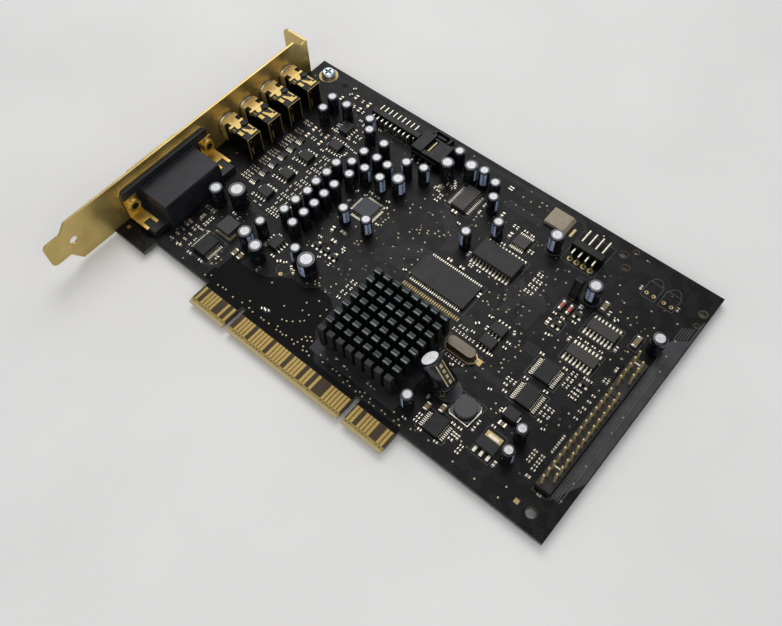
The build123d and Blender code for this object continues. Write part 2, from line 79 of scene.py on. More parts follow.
def linear(hexColour):
    parts = [int(hexColour[i:i + 2], 16) / 255 for i in (1, 3, 5)]
    return tuple(p / 12.92 if p <= 0.04045 else ((p + 0.055) / 1.055) ** 2.4 for p in parts) + (1.0,)


def feed(tree, node, inputs):
    # a socket is linked, and any other value is set on the input itself
    for key, value in inputs.items():
        if isinstance(value, bpy.types.NodeSocket):
            tree.links.new(value, node.inputs[key])
        else:
            node.inputs[key].default_value = value
    return node


def addNode(tree, kind, inputs=None, **settings):
    node = tree.nodes.new(kind)
    for key, value in settings.items():
        setattr(node, key, value)
    return feed(tree, node, inputs or {})


# Finishes: colour and gloss wander together over patches, and a finer grit gives the surface its tooth
surface = {"tones": (0.32, 0.68), "detail": 3.0, "glossFrom": (0.3, 0.7), "gritDetail": 2.0,
           "gritStrength": 0.6}


def startFinish(name):
    finish = bpy.data.materials.new(name)
    finish.use_nodes = True
    return finish, finish.node_tree, finish.node_tree.nodes["Principled BSDF"]


def patchy(tree, where, size, tones, colours, rough, **noise):
    patches = addNode(tree, "ShaderNodeTexNoise", {"Vector": where, "Scale": 1 / (size * mm), **noise})
    tone = addNode(tree, "ShaderNodeValToRGB", {"Fac": patches.outputs["Fac"]})
    for element, place, colour in zip(tone.color_ramp.elements, tones, colours):
        element.position, element.color = place, linear(colour)
    low, high = surface["glossFrom"]
    gloss = addNode(tree, "ShaderNodeMapRange", {"Value": patches.outputs["Fac"], "From Min": low,
                                                 "From Max": high, "To Min": rough[0], "To Max": rough[1]})
    return tone.outputs["Color"], gloss.outputs["Result"]


def makeFinish(name, low, high, patch, rough, grit=None, stretch=(1, 1, 1), **sockets):
    # patch and grit are sizes in millimetres, and grit has its depth too
    finish, tree, shader = startFinish(name)
    where = addNode(tree, "ShaderNodeTexCoord").outputs["Object"]
    laid = addNode(tree, "ShaderNodeMapping", {"Vector": where, "Scale": stretch}).outputs["Vector"]
    colour, gloss = patchy(tree, laid, patch, surface["tones"], (low, high), rough,
                           Detail=surface["detail"])
    feed(tree, shader, {"Base Color": colour, "Roughness": gloss})
    if grit:
        size, depth = grit
        grains = addNode(tree, "ShaderNodeTexNoise", {"Vector": laid, "Scale": 1 / (size * mm),
                                                      "Detail": surface["gritDetail"]})
        tooth = addNode(tree, "ShaderNodeBump", {"Height": grains.outputs["Fac"], "Distance": depth * mm,
                                                 "Strength": surface["gritStrength"]})
        feed(tree, shader, {"Normal": tooth.outputs["Normal"]})
    feed(tree, shader, {socket.replace("_", " "): value for socket, value in sockets.items()})
    return finish


# Hard gold plating on copper fingers: clean yellow with a soft sheen
goldFinger = makeFinish("hard gold plating", "#8a7340", "#9f884e", 2.0, (0.36, 0.48), Metallic=0.85)
# Gold-flashed steel sheet, rolled: mirror-like but slightly wavy, deeper where it is thin
goldSheet = makeFinish("gold flashed steel sheet", "#b99f5c", "#d0b876", 9.0, (0.24, 0.36), (1.2, 0.003),
                       Metallic=0.75)
# Gold-plated brass stamping: brighter and yellower than the bracket
goldStamping = makeFinish("gold plated stamping", "#d6b150", "#e8c974", 2.5, (0.3, 0.42), (0.6, 0.003),
                          Metallic=0.95)
# Jack shield: the same plating, rolled to a dull sheen
jackSheet = makeFinish("plated jack shield", "#dcb86a", "#eed08a", 2.5, (0.3, 0.42), (0.6, 0.003),
                       Metallic=0.55)
# Spring blade: thinner plating, browner
bladeGold = makeFinish("thin plated blade", "#a58d50", "#bda66a", 1.6, (0.32, 0.44), Metallic=0.8)
# Square gold post: drawn brass, duller along its length
goldPost = makeFinish("gold flashed post", "#b8a470", "#d0bc8a", 1.5, (0.28, 0.4), Metallic=0.5)
# Immersion gold pad with a thin solder skin: pale and soft
padGold = makeFinish("tinned gold pad", "#8d7a52", "#ae9a6d", 1.2, (0.3, 0.45), Metallic=0.85)
# Plated holes: thin tin over gold, bright where the mask is open and dull where it runs over the ring
viaTin = makeFinish("tinned hole ring", "#b0a27c", "#d0c29b", 1.0, (0.34, 0.48), Metallic=0.6)
viaMasked = makeFinish("masked hole ring", "#5d5644", "#7a7059", 1.0, (0.4, 0.52), Metallic=0.5)
# Drilled rim of a tooling hole: brown oxidised copper
rimCopper = makeFinish("oxidised copper rim", "#3f3426", "#584935", 1.0, (0.42, 0.55), Metallic=0.5)
# Tin-plated lead: bright grey, matte in places
tinLead = makeFinish("tin plated lead", "#a9a392", "#cbc5b4", 0.9, (0.25, 0.42), Metallic=0.9)
# Reflowed solder: brighter than the lead, rounder in its light
solder = makeFinish("reflowed solder", "#b9b3a3", "#dcd6c7", 0.8, (0.18, 0.34), Metallic=0.9)
# Nylon moulding, glossy from the mould
blackMoulding = makeFinish("black nylon moulding", "#0b0b0c", "#141416", 3.0, (0.22, 0.34), (0.25, 0.003))
# Jack moulding: the deepest black, with little gloss
jackMoulding = makeFinish("jack moulding", "#060606", "#0c0c0c", 3.0, (0.3, 0.42), (0.25, 0.003),
                          Specular_IOR_Level=0.22)
# Port moulding: glass-filled, satin and greyer, fine sparkle on its top
portMoulding = makeFinish("glass filled moulding", "#17181c", "#1f2025", 4.0, (0.42, 0.52), (0.3, 0.006),
                          Specular_IOR_Level=0.4)
# Header bars: matte brown-black high-temperature plastic
headerMoulding = makeFinish("header moulding", "#191713", "#24201a", 2.0, (0.45, 0.6), (0.25, 0.005))
# Black anodised aluminium: satin and deep
blackAnodising = makeFinish("black anodised aluminium", "#0c0e0f", "#131516", 2.2, (0.4, 0.52),
                            (0.22, 0.004), Specular_IOR_Level=0.4)
# Pin tops: a painted highlight on the front half of each top, painted shade on the back half and on the
# first row
paintedHighlightTop = makeFinish("worn anodised pin top", "#1f2527", "#5c6461", 5.0, (0.26, 0.38), (0.5, 0.006),
                       Metallic=0.7)
paintedShadeTop = makeFinish("dull anodised pin top", "#131718", "#2b3032", 5.0, (0.3, 0.42), (0.5, 0.006),
                     Metallic=0.6)
shadedTop = makeFinish("unworn anodised pin top", "#0b0d0e", "#1a1e1f", 5.0, (0.36, 0.46), (0.5, 0.006),
                       Metallic=0.5)
# Chip package: matte epoxy with a fine spark-eroded texture
chipEpoxy = makeFinish("moulded chip epoxy", "#1a1a1b", "#252525", 3.0, (0.5, 0.62), (0.16, 0.006),
                       Specular_IOR_Level=0.4)
# Shrunk sleeve film: glossy, blue-black
sleeveFilm = makeFinish("shrunk sleeve film", "#0a0b10", "#12141c", 2.5, (0.12, 0.2), Coat_Weight=0.3)
# Pale blue stripe printed on the sleeve
stripeInk = makeFinish("stripe ink on film", "#8ea3c4", "#afc0da", 1.5, (0.2, 0.3))
# Cream dashes printed on the tall can's sleeve
dashInk = makeFinish("dash ink on film", "#b9ab84", "#d2c69f", 1.0, (0.25, 0.35))
# Bare aluminium can top: satin white metal
canTop = makeFinish("pressed aluminium top", "#bfc0c2", "#d6d7d9", 1.6, (0.36, 0.48), Metallic=0.3)
# Top of the tall can: whiter
whiteTop = makeFinish("bleached aluminium top", "#f3f3f2", "#fcfcfb", 1.6, (0.3, 0.42))
# Rubber bung under a can
bungRubber = makeFinish("rubber bung", "#2f3033", "#3b3c40", 1.5, (0.55, 0.7), (0.3, 0.01))
# Ceramic chip body, tan, and a lacquered black one
ceramicTan = makeFinish("fired ceramic body", "#6d5a43", "#8d775a", 0.9, (0.4, 0.55))
resistorBlack = makeFinish("lacquered chip body", "#141416", "#1f2023", 0.9, (0.25, 0.4))
# Screen ink: pale, thin and a little worn
silkInk = makeFinish("screen printed ink", "#4c4c4b", "#646463", 1.8, (0.55, 0.7))
# Paler half disc inside a round outline
paleHalfFill = makeFinish("thin screen fill", "#2a2c31", "#35373d", 2.0, (0.5, 0.62))
# Copper run under the mask: the same black, raised and a shade lighter
maskedTrace = makeFinish("masked copper run", "#272627", "#323132", 6.0, (0.34, 0.46),
                         Specular_IOR_Level=0.22)
# Mask over bare laminate: smoother and darker than over copper
maskBare = makeFinish("mask on bare laminate", "#030304", "#050506", 12.0, (0.3, 0.38),
                      Specular_IOR_Level=0.05)
# Mask over solid copper round the heat sink: a shade lighter, and lighter still as painted light where the
# sink's shadow falls
pourWithPaintedLight = makeFinish("mask on solid copper", "#28282a", "#323234", 5.0, (0.36, 0.48),
                      Specular_IOR_Level=0.18)
# Mask over the pour along the right edge: thinner, so greyer
edgePour = makeFinish("thin mask on copper", "#3a3a3c", "#474749", 5.0, (0.36, 0.48),
                      Specular_IOR_Level=0.2)
# Drawn nickel-silver can: warm grey with a brushed top
nickelCan = makeFinish("drawn nickel silver can", "#4a443e", "#60584f", 1.0, (0.28, 0.4),
                       stretch=(0.2, 1, 1), Metallic=0.9)
# Tin-coated oscillator lid: beige and dull
paleCan = makeFinish("dull tinned lid", "#867c69", "#9e937f", 1.6, (0.5, 0.62), (0.3, 0.004),
                     Metallic=0.25)
# Red lacquered glass of small diodes
redGlass = makeFinish("red lacquered glass", "#8f4030", "#b35b45", 0.8, (0.1, 0.18), Coat_Weight=0.6)
# Pressed ferrite: charcoal, gritty
ferrite = makeFinish("pressed ferrite", "#29292a", "#363637", 0.8, (0.5, 0.66), (0.25, 0.02))
# Zinc-plated screw: cool blue-grey, bright
zincScrew = makeFinish("blue zinc plating", "#a7b4bc", "#c4cfd5", 0.8, (0.2, 0.32), Metallic=0.95)
# Turned nickel ring between the bracket and a jack
nickelRing = makeFinish("bright nickel ring", "#b8b6b0", "#d6d4ce", 1.0, (0.14, 0.22), Metallic=1.0)
# Brown-grey epoxy of the older packages
warmEpoxy = makeFinish("warm chip epoxy", "#26231f", "#343029", 2.5, (0.46, 0.58), (0.16, 0.006))
# Darker epoxy of the fine-lead packages
darkEpoxy = makeFinish("dark chip epoxy", "#121213", "#1a1a1b", 2.5, (0.48, 0.6), (0.16, 0.006),
                       Specular_IOR_Level=0.35)
# Blue-grey epoxy of the codec
blueEpoxy = makeFinish("blue grey epoxy", "#24272d", "#31353d", 2.0, (0.46, 0.58), (0.16, 0.006))
# Core of the choke: ground grey ferrite
groundFerrite = makeFinish("ground ferrite", "#3c3c3d", "#4a4a4b", 0.9, (0.5, 0.64), (0.25, 0.015))
# Dark band on the tall can's sleeve
bandInk = makeFinish("dark band on film", "#2b281f", "#3a3629", 1.5, (0.25, 0.35))
# Dark film case of the leaning part
filmCase = makeFinish("dipped film case", "#101011", "#191819", 1.4, (0.3, 0.42), (0.4, 0.01))

# Black solder mask on glass laminate: semi-gloss charcoal, brown laminate on the tongue, layered edge
mask = {"dark": "#060507", "light": "#0b0a0c", "run": "#222121", "edge": "#5b554a", "tongue": "#443726",
        "bevel": "#9d8850", "tip": "#b3a379", "patch": 14.0, "tones": (0.35, 0.65), "detail": 5.0,
        "fade": 0.6, "rough": (0.36, 0.48), "specular": 0.15, "weave": 0.7, "weaveDepth": 0.006,
        "cell": 8.5, "pitch": 0.62, "runShare": 0.4, "gap": 4.5, "steep": 0.3,
        "tongueTop": -0.95, "bevelTop": -6.45, "tipTop": -7.3, "tongueStart": 30.0}


def makeBoardMask():
    finish, tree, shader = startFinish("black solder mask on laminate")
    source = addNode(tree, "ShaderNodeTexCoord").outputs
    where = source["Object"]
    colour, gloss = patchy(tree, where, mask["patch"], mask["tones"], (mask["dark"], mask["light"]),
                           mask["rough"], Detail=mask["detail"], Roughness=mask["fade"])
    # fine runs under the mask: stripes that turn by 45 degrees from cell to cell and break off in patches
    cells = addNode(tree, "ShaderNodeTexVoronoi", {"Vector": where, "Scale": 1 / (mask["cell"] * mm)})
    chance = addNode(tree, "ShaderNodeSeparateColor", {"Color": cells.outputs["Color"]})
    quarter = addNode(tree, "ShaderNodeMath", {0: chance.outputs["Red"], 1: 0.25}, operation="SNAP")
    angle = addNode(tree, "ShaderNodeMath", {0: quarter.outputs[0], 1: math.pi}, operation="MULTIPLY")
    turned = addNode(tree, "ShaderNodeVectorRotate", {"Vector": where, "Angle": angle.outputs[0]},
                     rotation_type="Z_AXIS")
    across = addNode(tree, "ShaderNodeSeparateXYZ", {"Vector": turned.outputs[0]})
    pitch = mask["pitch"] * mm
    wrapped = addNode(tree, "ShaderNodeMath", {0: across.outputs["X"], 1: pitch, 2: 0.0}, operation="WRAP")
    broken = addNode(tree, "ShaderNodeTexNoise", {"Vector": where, "Scale": 1 / (mask["gap"] * mm),
                                                  "Detail": 1.0})
    apart = addNode(tree, "ShaderNodeSeparateXYZ", {"Vector": where}).outputs
    facing = addNode(tree, "ShaderNodeSeparateXYZ", {"Vector": source["Normal"]})
    upright = addNode(tree, "ShaderNodeMath", {0: facing.outputs["Z"]}, operation="ABSOLUTE")
    share = {}
    for key, value, test, border in (
            ("stripe", wrapped.outputs[0], "LESS_THAN", mask["runShare"] * pitch),
            ("kept", broken.outputs["Fac"], "GREATER_THAN", 0.5),
            ("edge", upright.outputs[0], "LESS_THAN", mask["steep"]),
            ("low", apart["Y"], "LESS_THAN", spot(0, mask["tongueTop"]).y),
            ("right", apart["X"], "GREATER_THAN", spot(mask["tongueStart"], 0).x),
            ("bevel", apart["Y"], "LESS_THAN", spot(0, mask["bevelTop"]).y),
            ("tip", apart["Y"], "LESS_THAN", spot(0, mask["tipTop"]).y)):
        share[key] = addNode(tree, "ShaderNodeMath", {0: value, 1: border}, operation=test).outputs[0]
    for key, first, second in (("run", "stripe", "kept"), ("tongue", "low", "right")):
        both = addNode(tree, "ShaderNodeMath", {0: share[first], 1: share[second]}, operation="MULTIPLY")
        share[key] = both.outputs[0]
    for key in ("run", "edge", "tongue", "bevel", "tip"):
        mix = addNode(tree, "ShaderNodeMix", {"Factor": share[key], 6: colour, 7: linear(mask[key])},
                      data_type="RGBA")
        colour = mix.outputs[2]
    # the glass weave shows through as a faint square grain
    weave = addNode(tree, "ShaderNodeTexVoronoi", {"Vector": where, "Scale": 1 / (mask["weave"] * mm),
                                                   "Randomness": 0.25}, distance="CHEBYCHEV")
    tooth = addNode(tree, "ShaderNodeBump", {"Height": weave.outputs["Distance"], "Strength": 0.5,
                                             "Distance": mask["weaveDepth"] * mm})
    feed(tree, shader, {"Base Color": colour, "Roughness": gloss, "Normal": tooth.outputs["Normal"],
                        "Specular IOR Level": mask["specular"]})
    return finish


boardMask = makeBoardMask()
print("finishes made")


def newPiece(name, mesh, finish):
    mesh.materials.clear()
    mesh.materials.append(finish)
    piece = bpy.data.objects.new(name, mesh)
    scene.collection.objects.link(piece)
    return piece


def soften(mesh, degrees=sharp):
    mesh.shade_smooth()
    mesh.set_sharp_from_angle(angle=math.radians(degrees))


def plain(piece, degrees=sharp):
    # the evaluated result becomes a plain mesh, and the modifiers go
    evaluated = piece.evaluated_get(bpy.context.evaluated_depsgraph_get())
    mesh = bpy.data.meshes.new_from_object(evaluated)
    piece.modifiers.clear()
    if piece.type == "MESH":
        old, piece.data = piece.data, mesh
        bpy.data.meshes.remove(old)
    else:
        name, curve = piece.name, piece
        piece = bpy.data.objects.new(name, mesh)
        scene.collection.objects.link(piece)
        bpy.data.objects.remove(curve)
        piece.name = name
    if not piece.data.has_custom_normals:
        soften(piece.data, degrees)
    return piece


def settle(piece, slot, *nodes):
    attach(piece, "root")
    if nodes:
        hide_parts(*nodes)
    return piece


def bevelEdges(piece, width, segments=2):
    # the weighted normals keep the wide faces flat beside the eased edges
    piece.data.shade_smooth()
    bevel = piece.modifiers.new("eased edge", "BEVEL")
    bevel.width, bevel.segments = width * mm, segments
    bevel.limit_method, bevel.angle_limit = "ANGLE", math.radians(sharp)
    piece.modifiers.new("flat faces", "WEIGHTED_NORMAL")
    return piece


def easeNode(node, finish, slot, width):
    # a merged copy of the CAD node with its sharp edges eased, so that they catch the light
    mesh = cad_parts[node].data.copy()
    if "custom_normal" in mesh.attributes:
        mesh.attributes.remove(mesh.attributes["custom_normal"])
    shape = bmesh.new()
    shape.from_mesh(mesh)
    bmesh.ops.remove_doubles(shape, verts=shape.verts, dist=1e-6)
    bmesh.ops.dissolve_limit(shape, angle_limit=math.radians(0.5), verts=shape.verts, edges=shape.edges)
    shape.to_mesh(mesh)
    shape.free()
    piece = bevelEdges(newPiece(node + "_eased", mesh, finish), width)
    return settle(plain(piece), slot, node)


def meshOf(name, shape):
    mesh = bpy.data.meshes.new(name)
    shape.to_mesh(mesh)
    shape.free()
    return mesh


def addPiece(name, shape, finish, slot, *nodes, edge=0.0, segments=2, smooth=False):
    # edge is the width of the eased edges in millimetres
    mesh = meshOf(name, shape)
    if smooth:
        soften(mesh)
    piece = newPiece(name, mesh, finish)
    if edge:
        piece = plain(bevelEdges(piece, edge, segments))
    return settle(piece, slot, *nodes)


def joinInto(shape, part, at):
    part.transform(at)
    spare = meshOf("spare", part)
    shape.from_mesh(spare)
    bpy.data.meshes.remove(spare)


def boxes(pairs, place=spot):
    # one closed box for each pair of corners
    shape = bmesh.new()
    for pair in pairs:
        low, high = (Vector(place(*corner)) for corner in pair)
        corners = bmesh.ops.create_cube(shape, size=1.0)["verts"]
        bmesh.ops.scale(shape, vec=high - low, verts=corners)
        bmesh.ops.translate(shape, vec=(high + low) / 2, verts=corners)
    return shape


def easedBox(size, lift, finish, edge):
    # a pattern for many places: a box that starts at its lift, with eased edges
    long, deep, tall = size
    shape = boxes([((-long / 2, -deep / 2, lift), (long / 2, deep / 2, tall))], local)
    piece = plain(bevelEdges(newPiece("pattern", meshOf("pattern", shape), finish), edge, 1))
    mesh = piece.data
    bpy.data.objects.remove(piece)
    return mesh


def lathed(profile, sides):
    # turns (radius, height) points about z; a radius of 0 closes the form
    shape, rings = bmesh.new(), []
    angles = [2 * math.pi * k / sides for k in range(sides)]
    for radius, height in profile:
        rings.append([shape.verts.new((radius * mm * math.cos(a), radius * mm * math.sin(a), height * mm))
                      for a in (angles if radius else angles[:1])])
    for lower, upper in zip(rings, rings[1:]):
        for k in range(sides):
            after = (k + 1) % sides
            corners = [lower[k % len(lower)], lower[after % len(lower)],
                       upper[after % len(upper)], upper[k % len(upper)]]
            shape.faces.new(list(dict.fromkeys(corners)))
    bmesh.ops.recalc_face_normals(shape, faces=shape.faces)
    return shape


def bentStrip(points, width, thick):
    # a bent flat strip in the xz plane, from (x, z) points along its top
    shape = bmesh.new()
    outline = list(points) + [(x, z - thick) for x, z in points][::-1]
    near, far = ([shape.verts.new(local(x, side * width / 2, z)) for x, z in outline] for side in (-1, 1))
    count = len(outline)
    for k in range(count):
        shape.faces.new((near[k], near[(k + 1) % count], far[(k + 1) % count], far[k]))
    for k in range(len(points) - 1):
        shape.faces.new((near[k], near[k + 1], near[count - 2 - k], near[count - 1 - k]))
        shape.faces.new((far[k + 1], far[k], far[count - 1 - k], far[count - 2 - k]))
    bmesh.ops.recalc_face_normals(shape, faces=shape.faces)
    return shape


def plates(parts, y=0.0):
    # flat plates of (outline on the board, level, thickness); a corner may have a level of its own
    shape = bmesh.new()
    for outline, level, thick in parts:
        upper = [shape.verts.new(spot(p[0], y + p[1], p[2] if len(p) > 2 else level)) for p in outline]
        lower = [shape.verts.new(v.co - Vector((0, 0, thick * mm))) for v in upper]
        faces = [shape.faces.new(upper), shape.faces.new(lower[::-1])]
        for k in range(len(upper)):
            after = (k + 1) % len(upper)
            faces.append(shape.faces.new((upper[k], upper[after], lower[after], lower[k])))
        bmesh.ops.recalc_face_normals(shape, faces=faces)
    return shape


def arc(x, y, wide, high, start, turn, steps):
    # corners along part of an oval, angles in radians
    angles = [start + turn * k / steps for k in range(steps + 1)]
    return [(x + wide * math.cos(a), y + high * math.sin(a)) for a in angles]


def centred(count, pitch):
    return [(k - (count - 1) / 2) * pitch for k in range(count)]


def newTree(name, **sockets):
    tree = bpy.data.node_groups.new(name, "GeometryNodeTree")
    for label, kind in {"Geometry": "Geometry", **sockets, "Finish": "Material"}.items():
        tree.interface.new_socket(label, in_out="INPUT", socket_type="NodeSocket" + kind)
    tree.interface.new_socket("Geometry", in_out="OUTPUT", socket_type="NodeSocketGeometry")
    return tree, addNode(tree, "NodeGroupInput").outputs


def closeTree(tree, geometry, finish):
    real = addNode(tree, "GeometryNodeRealizeInstances", {"Geometry": geometry})
    coated = addNode(tree, "GeometryNodeSetMaterial", {"Geometry": real.outputs[0], "Material": finish})
    addNode(tree, "NodeGroupOutput", {"Geometry": coated.outputs[0]})
    return tree


def runTree(piece, tree, values, degrees=sharp):
    modifier = piece.modifiers.new("nodes", "NODES")
    modifier.node_group = tree
    for socket in tree.interface.items_tree:
        if socket.in_out == "INPUT" and socket.name in values:
            modifier[socket.identifier] = values[socket.name]
    return plain(piece, degrees)


# One shape on many places, each with its own turn and stretch
def makeRepeatTree():
    tree, entry = newTree("repeat on places", Shape="Object")
    shape = addNode(tree, "GeometryNodeObjectInfo", {"Object": entry["Shape"]})
    turn, stretch = (addNode(tree, "GeometryNodeInputNamedAttribute", {"Name": key},
                             data_type="FLOAT_VECTOR") for key in ("turn", "stretch"))
    placed = addNode(tree, "GeometryNodeInstanceOnPoints", {
        "Points": entry["Geometry"], "Instance": shape.outputs["Geometry"],
        "Rotation": turn.outputs["Attribute"], "Scale": stretch.outputs["Attribute"]})
    return closeTree(tree, placed.outputs["Instances"], entry["Finish"])


# A flat run that follows each spline
def makeRunTree():
    tree, entry = newTree("run along path", Width="Float", Height="Float")
    level = addNode(tree, "GeometryNodeSetCurveNormal", {"Curve": entry["Geometry"]}, mode="Z_UP")
    section = addNode(tree, "GeometryNodeCurvePrimitiveQuadrilateral", {"Width": entry["Width"],
                                                                        "Height": entry["Height"]})
    swept = addNode(tree, "GeometryNodeCurveToMesh", {"Curve": level.outputs[0], "Fill Caps": True,
                                                      "Profile Curve": section.outputs[0]})
    return closeTree(tree, swept.outputs[0], entry["Finish"])


# Rows and columns of one pin on a plate
def makePinTree():
    tree, entry = newTree("pins in rows", Pin="Object", Columns="Int", Rows="Int", Length="Float",
                          Depth="Float")
    grid = addNode(tree, "GeometryNodeMeshGrid", {
        "Size X": entry["Length"], "Size Y": entry["Depth"],
        "Vertices X": entry["Columns"], "Vertices Y": entry["Rows"]})
    pin = addNode(tree, "GeometryNodeObjectInfo", {"Object": entry["Pin"]})
    placed = addNode(tree, "GeometryNodeInstanceOnPoints", {"Points": grid.outputs["Mesh"],
                                                            "Instance": pin.outputs["Geometry"]})
    return closeTree(tree, placed.outputs["Instances"], entry["Finish"])


repeatTree, runAlong, pinTree = makeRepeatTree(), makeRunTree(), makePinTree()


def repeat(name, shape, places, finish, slot, *nodes, degrees=sharp):
    # places are (x, y, z, turn about z in degrees, size), and the last two may be left out
    mesh = bpy.data.meshes.new(name)
    mesh.from_pydata([spot(*place[:3]) for place in places], [], [])
    turns = mesh.attributes.new("turn", "FLOAT_VECTOR", "POINT")
    stretches = mesh.attributes.new("stretch", "FLOAT_VECTOR", "POINT")
    for k, place in enumerate(places):
        turns.data[k].vector = (0, 0, math.radians(place[3] if len(place) > 3 else 0))
        stretches.data[k].vector = [place[4] if len(place) > 4 else 1] * 3
    if isinstance(shape, bmesh.types.BMesh):
        shape = meshOf(name + "_shape", shape)
    pattern = bpy.data.objects.new(name + "_shape", shape)
    piece = newPiece(name, mesh, finish)
    piece = runTree(piece, repeatTree, {"Shape": pattern, "Finish": finish}, degrees)
    bpy.data.objects.remove(pattern)
    for spare in ("turn", "stretch"):
        if spare in piece.data.attributes:
            piece.data.attributes.remove(piece.data.attributes[spare])
    return settle(piece, slot, *nodes)


def runs(name, paths, width, height, level, finish, slot):
    # each path is a list of (x, y) corners on the board
    curve = bpy.data.curves.new(name, "CURVE")
    curve.dimensions = "3D"
    for path in paths:
        spline = curve.splines.new("POLY")
        spline.points.add(len(path) - 1)
        for point, (x, y) in zip(spline.points, path):
            point.co = (*spot(x, y, level), 1)
    piece = bpy.data.objects.new(name, curve)
    scene.collection.objects.link(piece)
    piece = runTree(piece, runAlong, {"Width": width * mm, "Height": height * mm, "Finish": finish})
    return settle(piece, slot)


# CAD nodes that keep their own mesh and only take a finish
for node, finish in {"circuit_board": boardMask, "edge_contacts_front": goldFinger,
                     "edge_contacts_back": goldFinger, "bus_bridge_leads": tinLead,
                     "logic_chips_leads": tinLead, "wire_links": tinLead}.items():
    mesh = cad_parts[node].data
    mesh.materials.clear()
    mesh.materials.append(finish)

# CAD nodes whose edges are eased: finish, slot of the record, width of the eased edge in millimetres
easedNodes = {
    "mounting_bracket": (goldSheet, "gold_bracket", 0.14),
    "bracket_screw": (zincScrew, "screw_steel", 0.12),
    "port_housing": (portMoulding, "black_plastic", 0.25), "port_shell": (goldSheet, "tinned_steel", 0.1),
    "port_standoffs": (zincScrew, "tinned_steel", 0.15),
    "port_ground_straps": (goldStamping, "gold_shield", 0.09),
    "processor": (chipEpoxy, "chip_ceramic", 0.15), "bus_bridge": (chipEpoxy, "chip_epoxy", 0.12),
    "logic_chips": (warmEpoxy, "chip_epoxy", 0.12), "memory_chip": (chipEpoxy, "chip_epoxy", 0.1),
    "converter_chips": (darkEpoxy, "chip_epoxy", 0.12),
    "switching_controller": (darkEpoxy, "chip_epoxy", 0.12),
    "receiver_chip": (warmEpoxy, "chip_epoxy", 0.12), "clock_buffer": (warmEpoxy, "chip_epoxy", 0.1),
    "codec_chip": (blueEpoxy, "chip_epoxy", 0.12), "line_amplifiers": (chipEpoxy, "chip_epoxy", 0.12),
    "output_amplifiers": (chipEpoxy, "chip_epoxy", 0.12), "shielded_inductor": (ferrite, "ferrite", 0.2),
    "choke_carrier": (blackMoulding, "black_plastic", 0.1), "choke_core": (groundFerrite, "ferrite", 0.2),
    "crystal_can": (nickelCan, "pale_can", 0.3), "oscillator_can": (paleCan, "pale_can", 0.2),
    "regulator_body": (chipEpoxy, "chip_epoxy", 0.15), "regulator_metal": (tinLead, "tinned_leads", 0.06),
    "rectifier_body": (chipEpoxy, "chip_epoxy", 0.15), "rectifier_leads": (tinLead, "tinned_leads", 0.05),
    "film_capacitor": (filmCase, "film_case", 0.35), "glass_diodes": (redGlass, "red_glass", 0.12),
    "pin_header_bodies": (headerMoulding, "black_plastic", 0.15),
    "pin_header_posts": (goldPost, "gold_pins", 0.1),
    "panel_header_body": (jackMoulding, "black_plastic", 0.15),
    "panel_header_pins": (tinLead, "tinned_leads", 0.08),
    "drive_header_body": (jackMoulding, "black_plastic", 0.2),
    "drive_header_pins": (tinLead, "tinned_leads", 0.1),
    "audio_connector_pins": (goldPost, "gold_pins", 0.08),
    "leaning_capacitor_wires": (tinLead, "tinned_leads", 0.05),
    "chip_capacitors": (ceramicTan, "chip_ceramic", 0.1),
}
for number in range(1, 5):
    easedNodes["jack_%d_housing" % number] = (jackMoulding, "black_plastic", 0.18)
    easedNodes["jack_%d_shield" % number] = (jackSheet, "gold_shield", 0.07)
for node, (finish, slot, width) in easedNodes.items():
    easeNode(node, finish, slot, width)
print("CAD nodes dressed:", len(easedNodes))

# Heat sink: plate with eight rows of eight pins, each top sawn in two apart from the first row
sink = {"x": 98.6, "y": 19.6, "length": 28.0, "width": 27.1, "base": 2.0, "height": 10.4, "pins": 8,
        "pinLength": 2.4, "pinDepth": 1.8, "edge": 0.16, "split": 0.42, "saw": 0.12, "step": 0.06,
        "sunk": 0.3, "topDepth": 0.32, "plateEdge": 0.2}


def pinShape(rings, y=0.0):
    # square rings of (length, depth, height), closed at both ends
    shape = bmesh.new()
    rows = [[shape.verts.new((across * long / 2 * mm, (y + along * deep / 2) * mm, z * mm))
             for across, along in ((-1, -1), (1, -1), (1, 1), (-1, 1))] for long, deep, z in rings]
    for lower, upper in zip(rows, rows[1:]):
        for k in range(4):
            shape.faces.new((lower[k], lower[(k + 1) % 4], upper[(k + 1) % 4], upper[k]))
    shape.faces.new(rows[0][::-1])
    shape.faces.new(rows[-1])
    return shape


def pinTop(deep, foot, level):
    long, edge = sink["pinLength"], sink["edge"]
    return [(long, deep, foot), (long, deep, level - edge), (long - edge, deep - edge, level)]


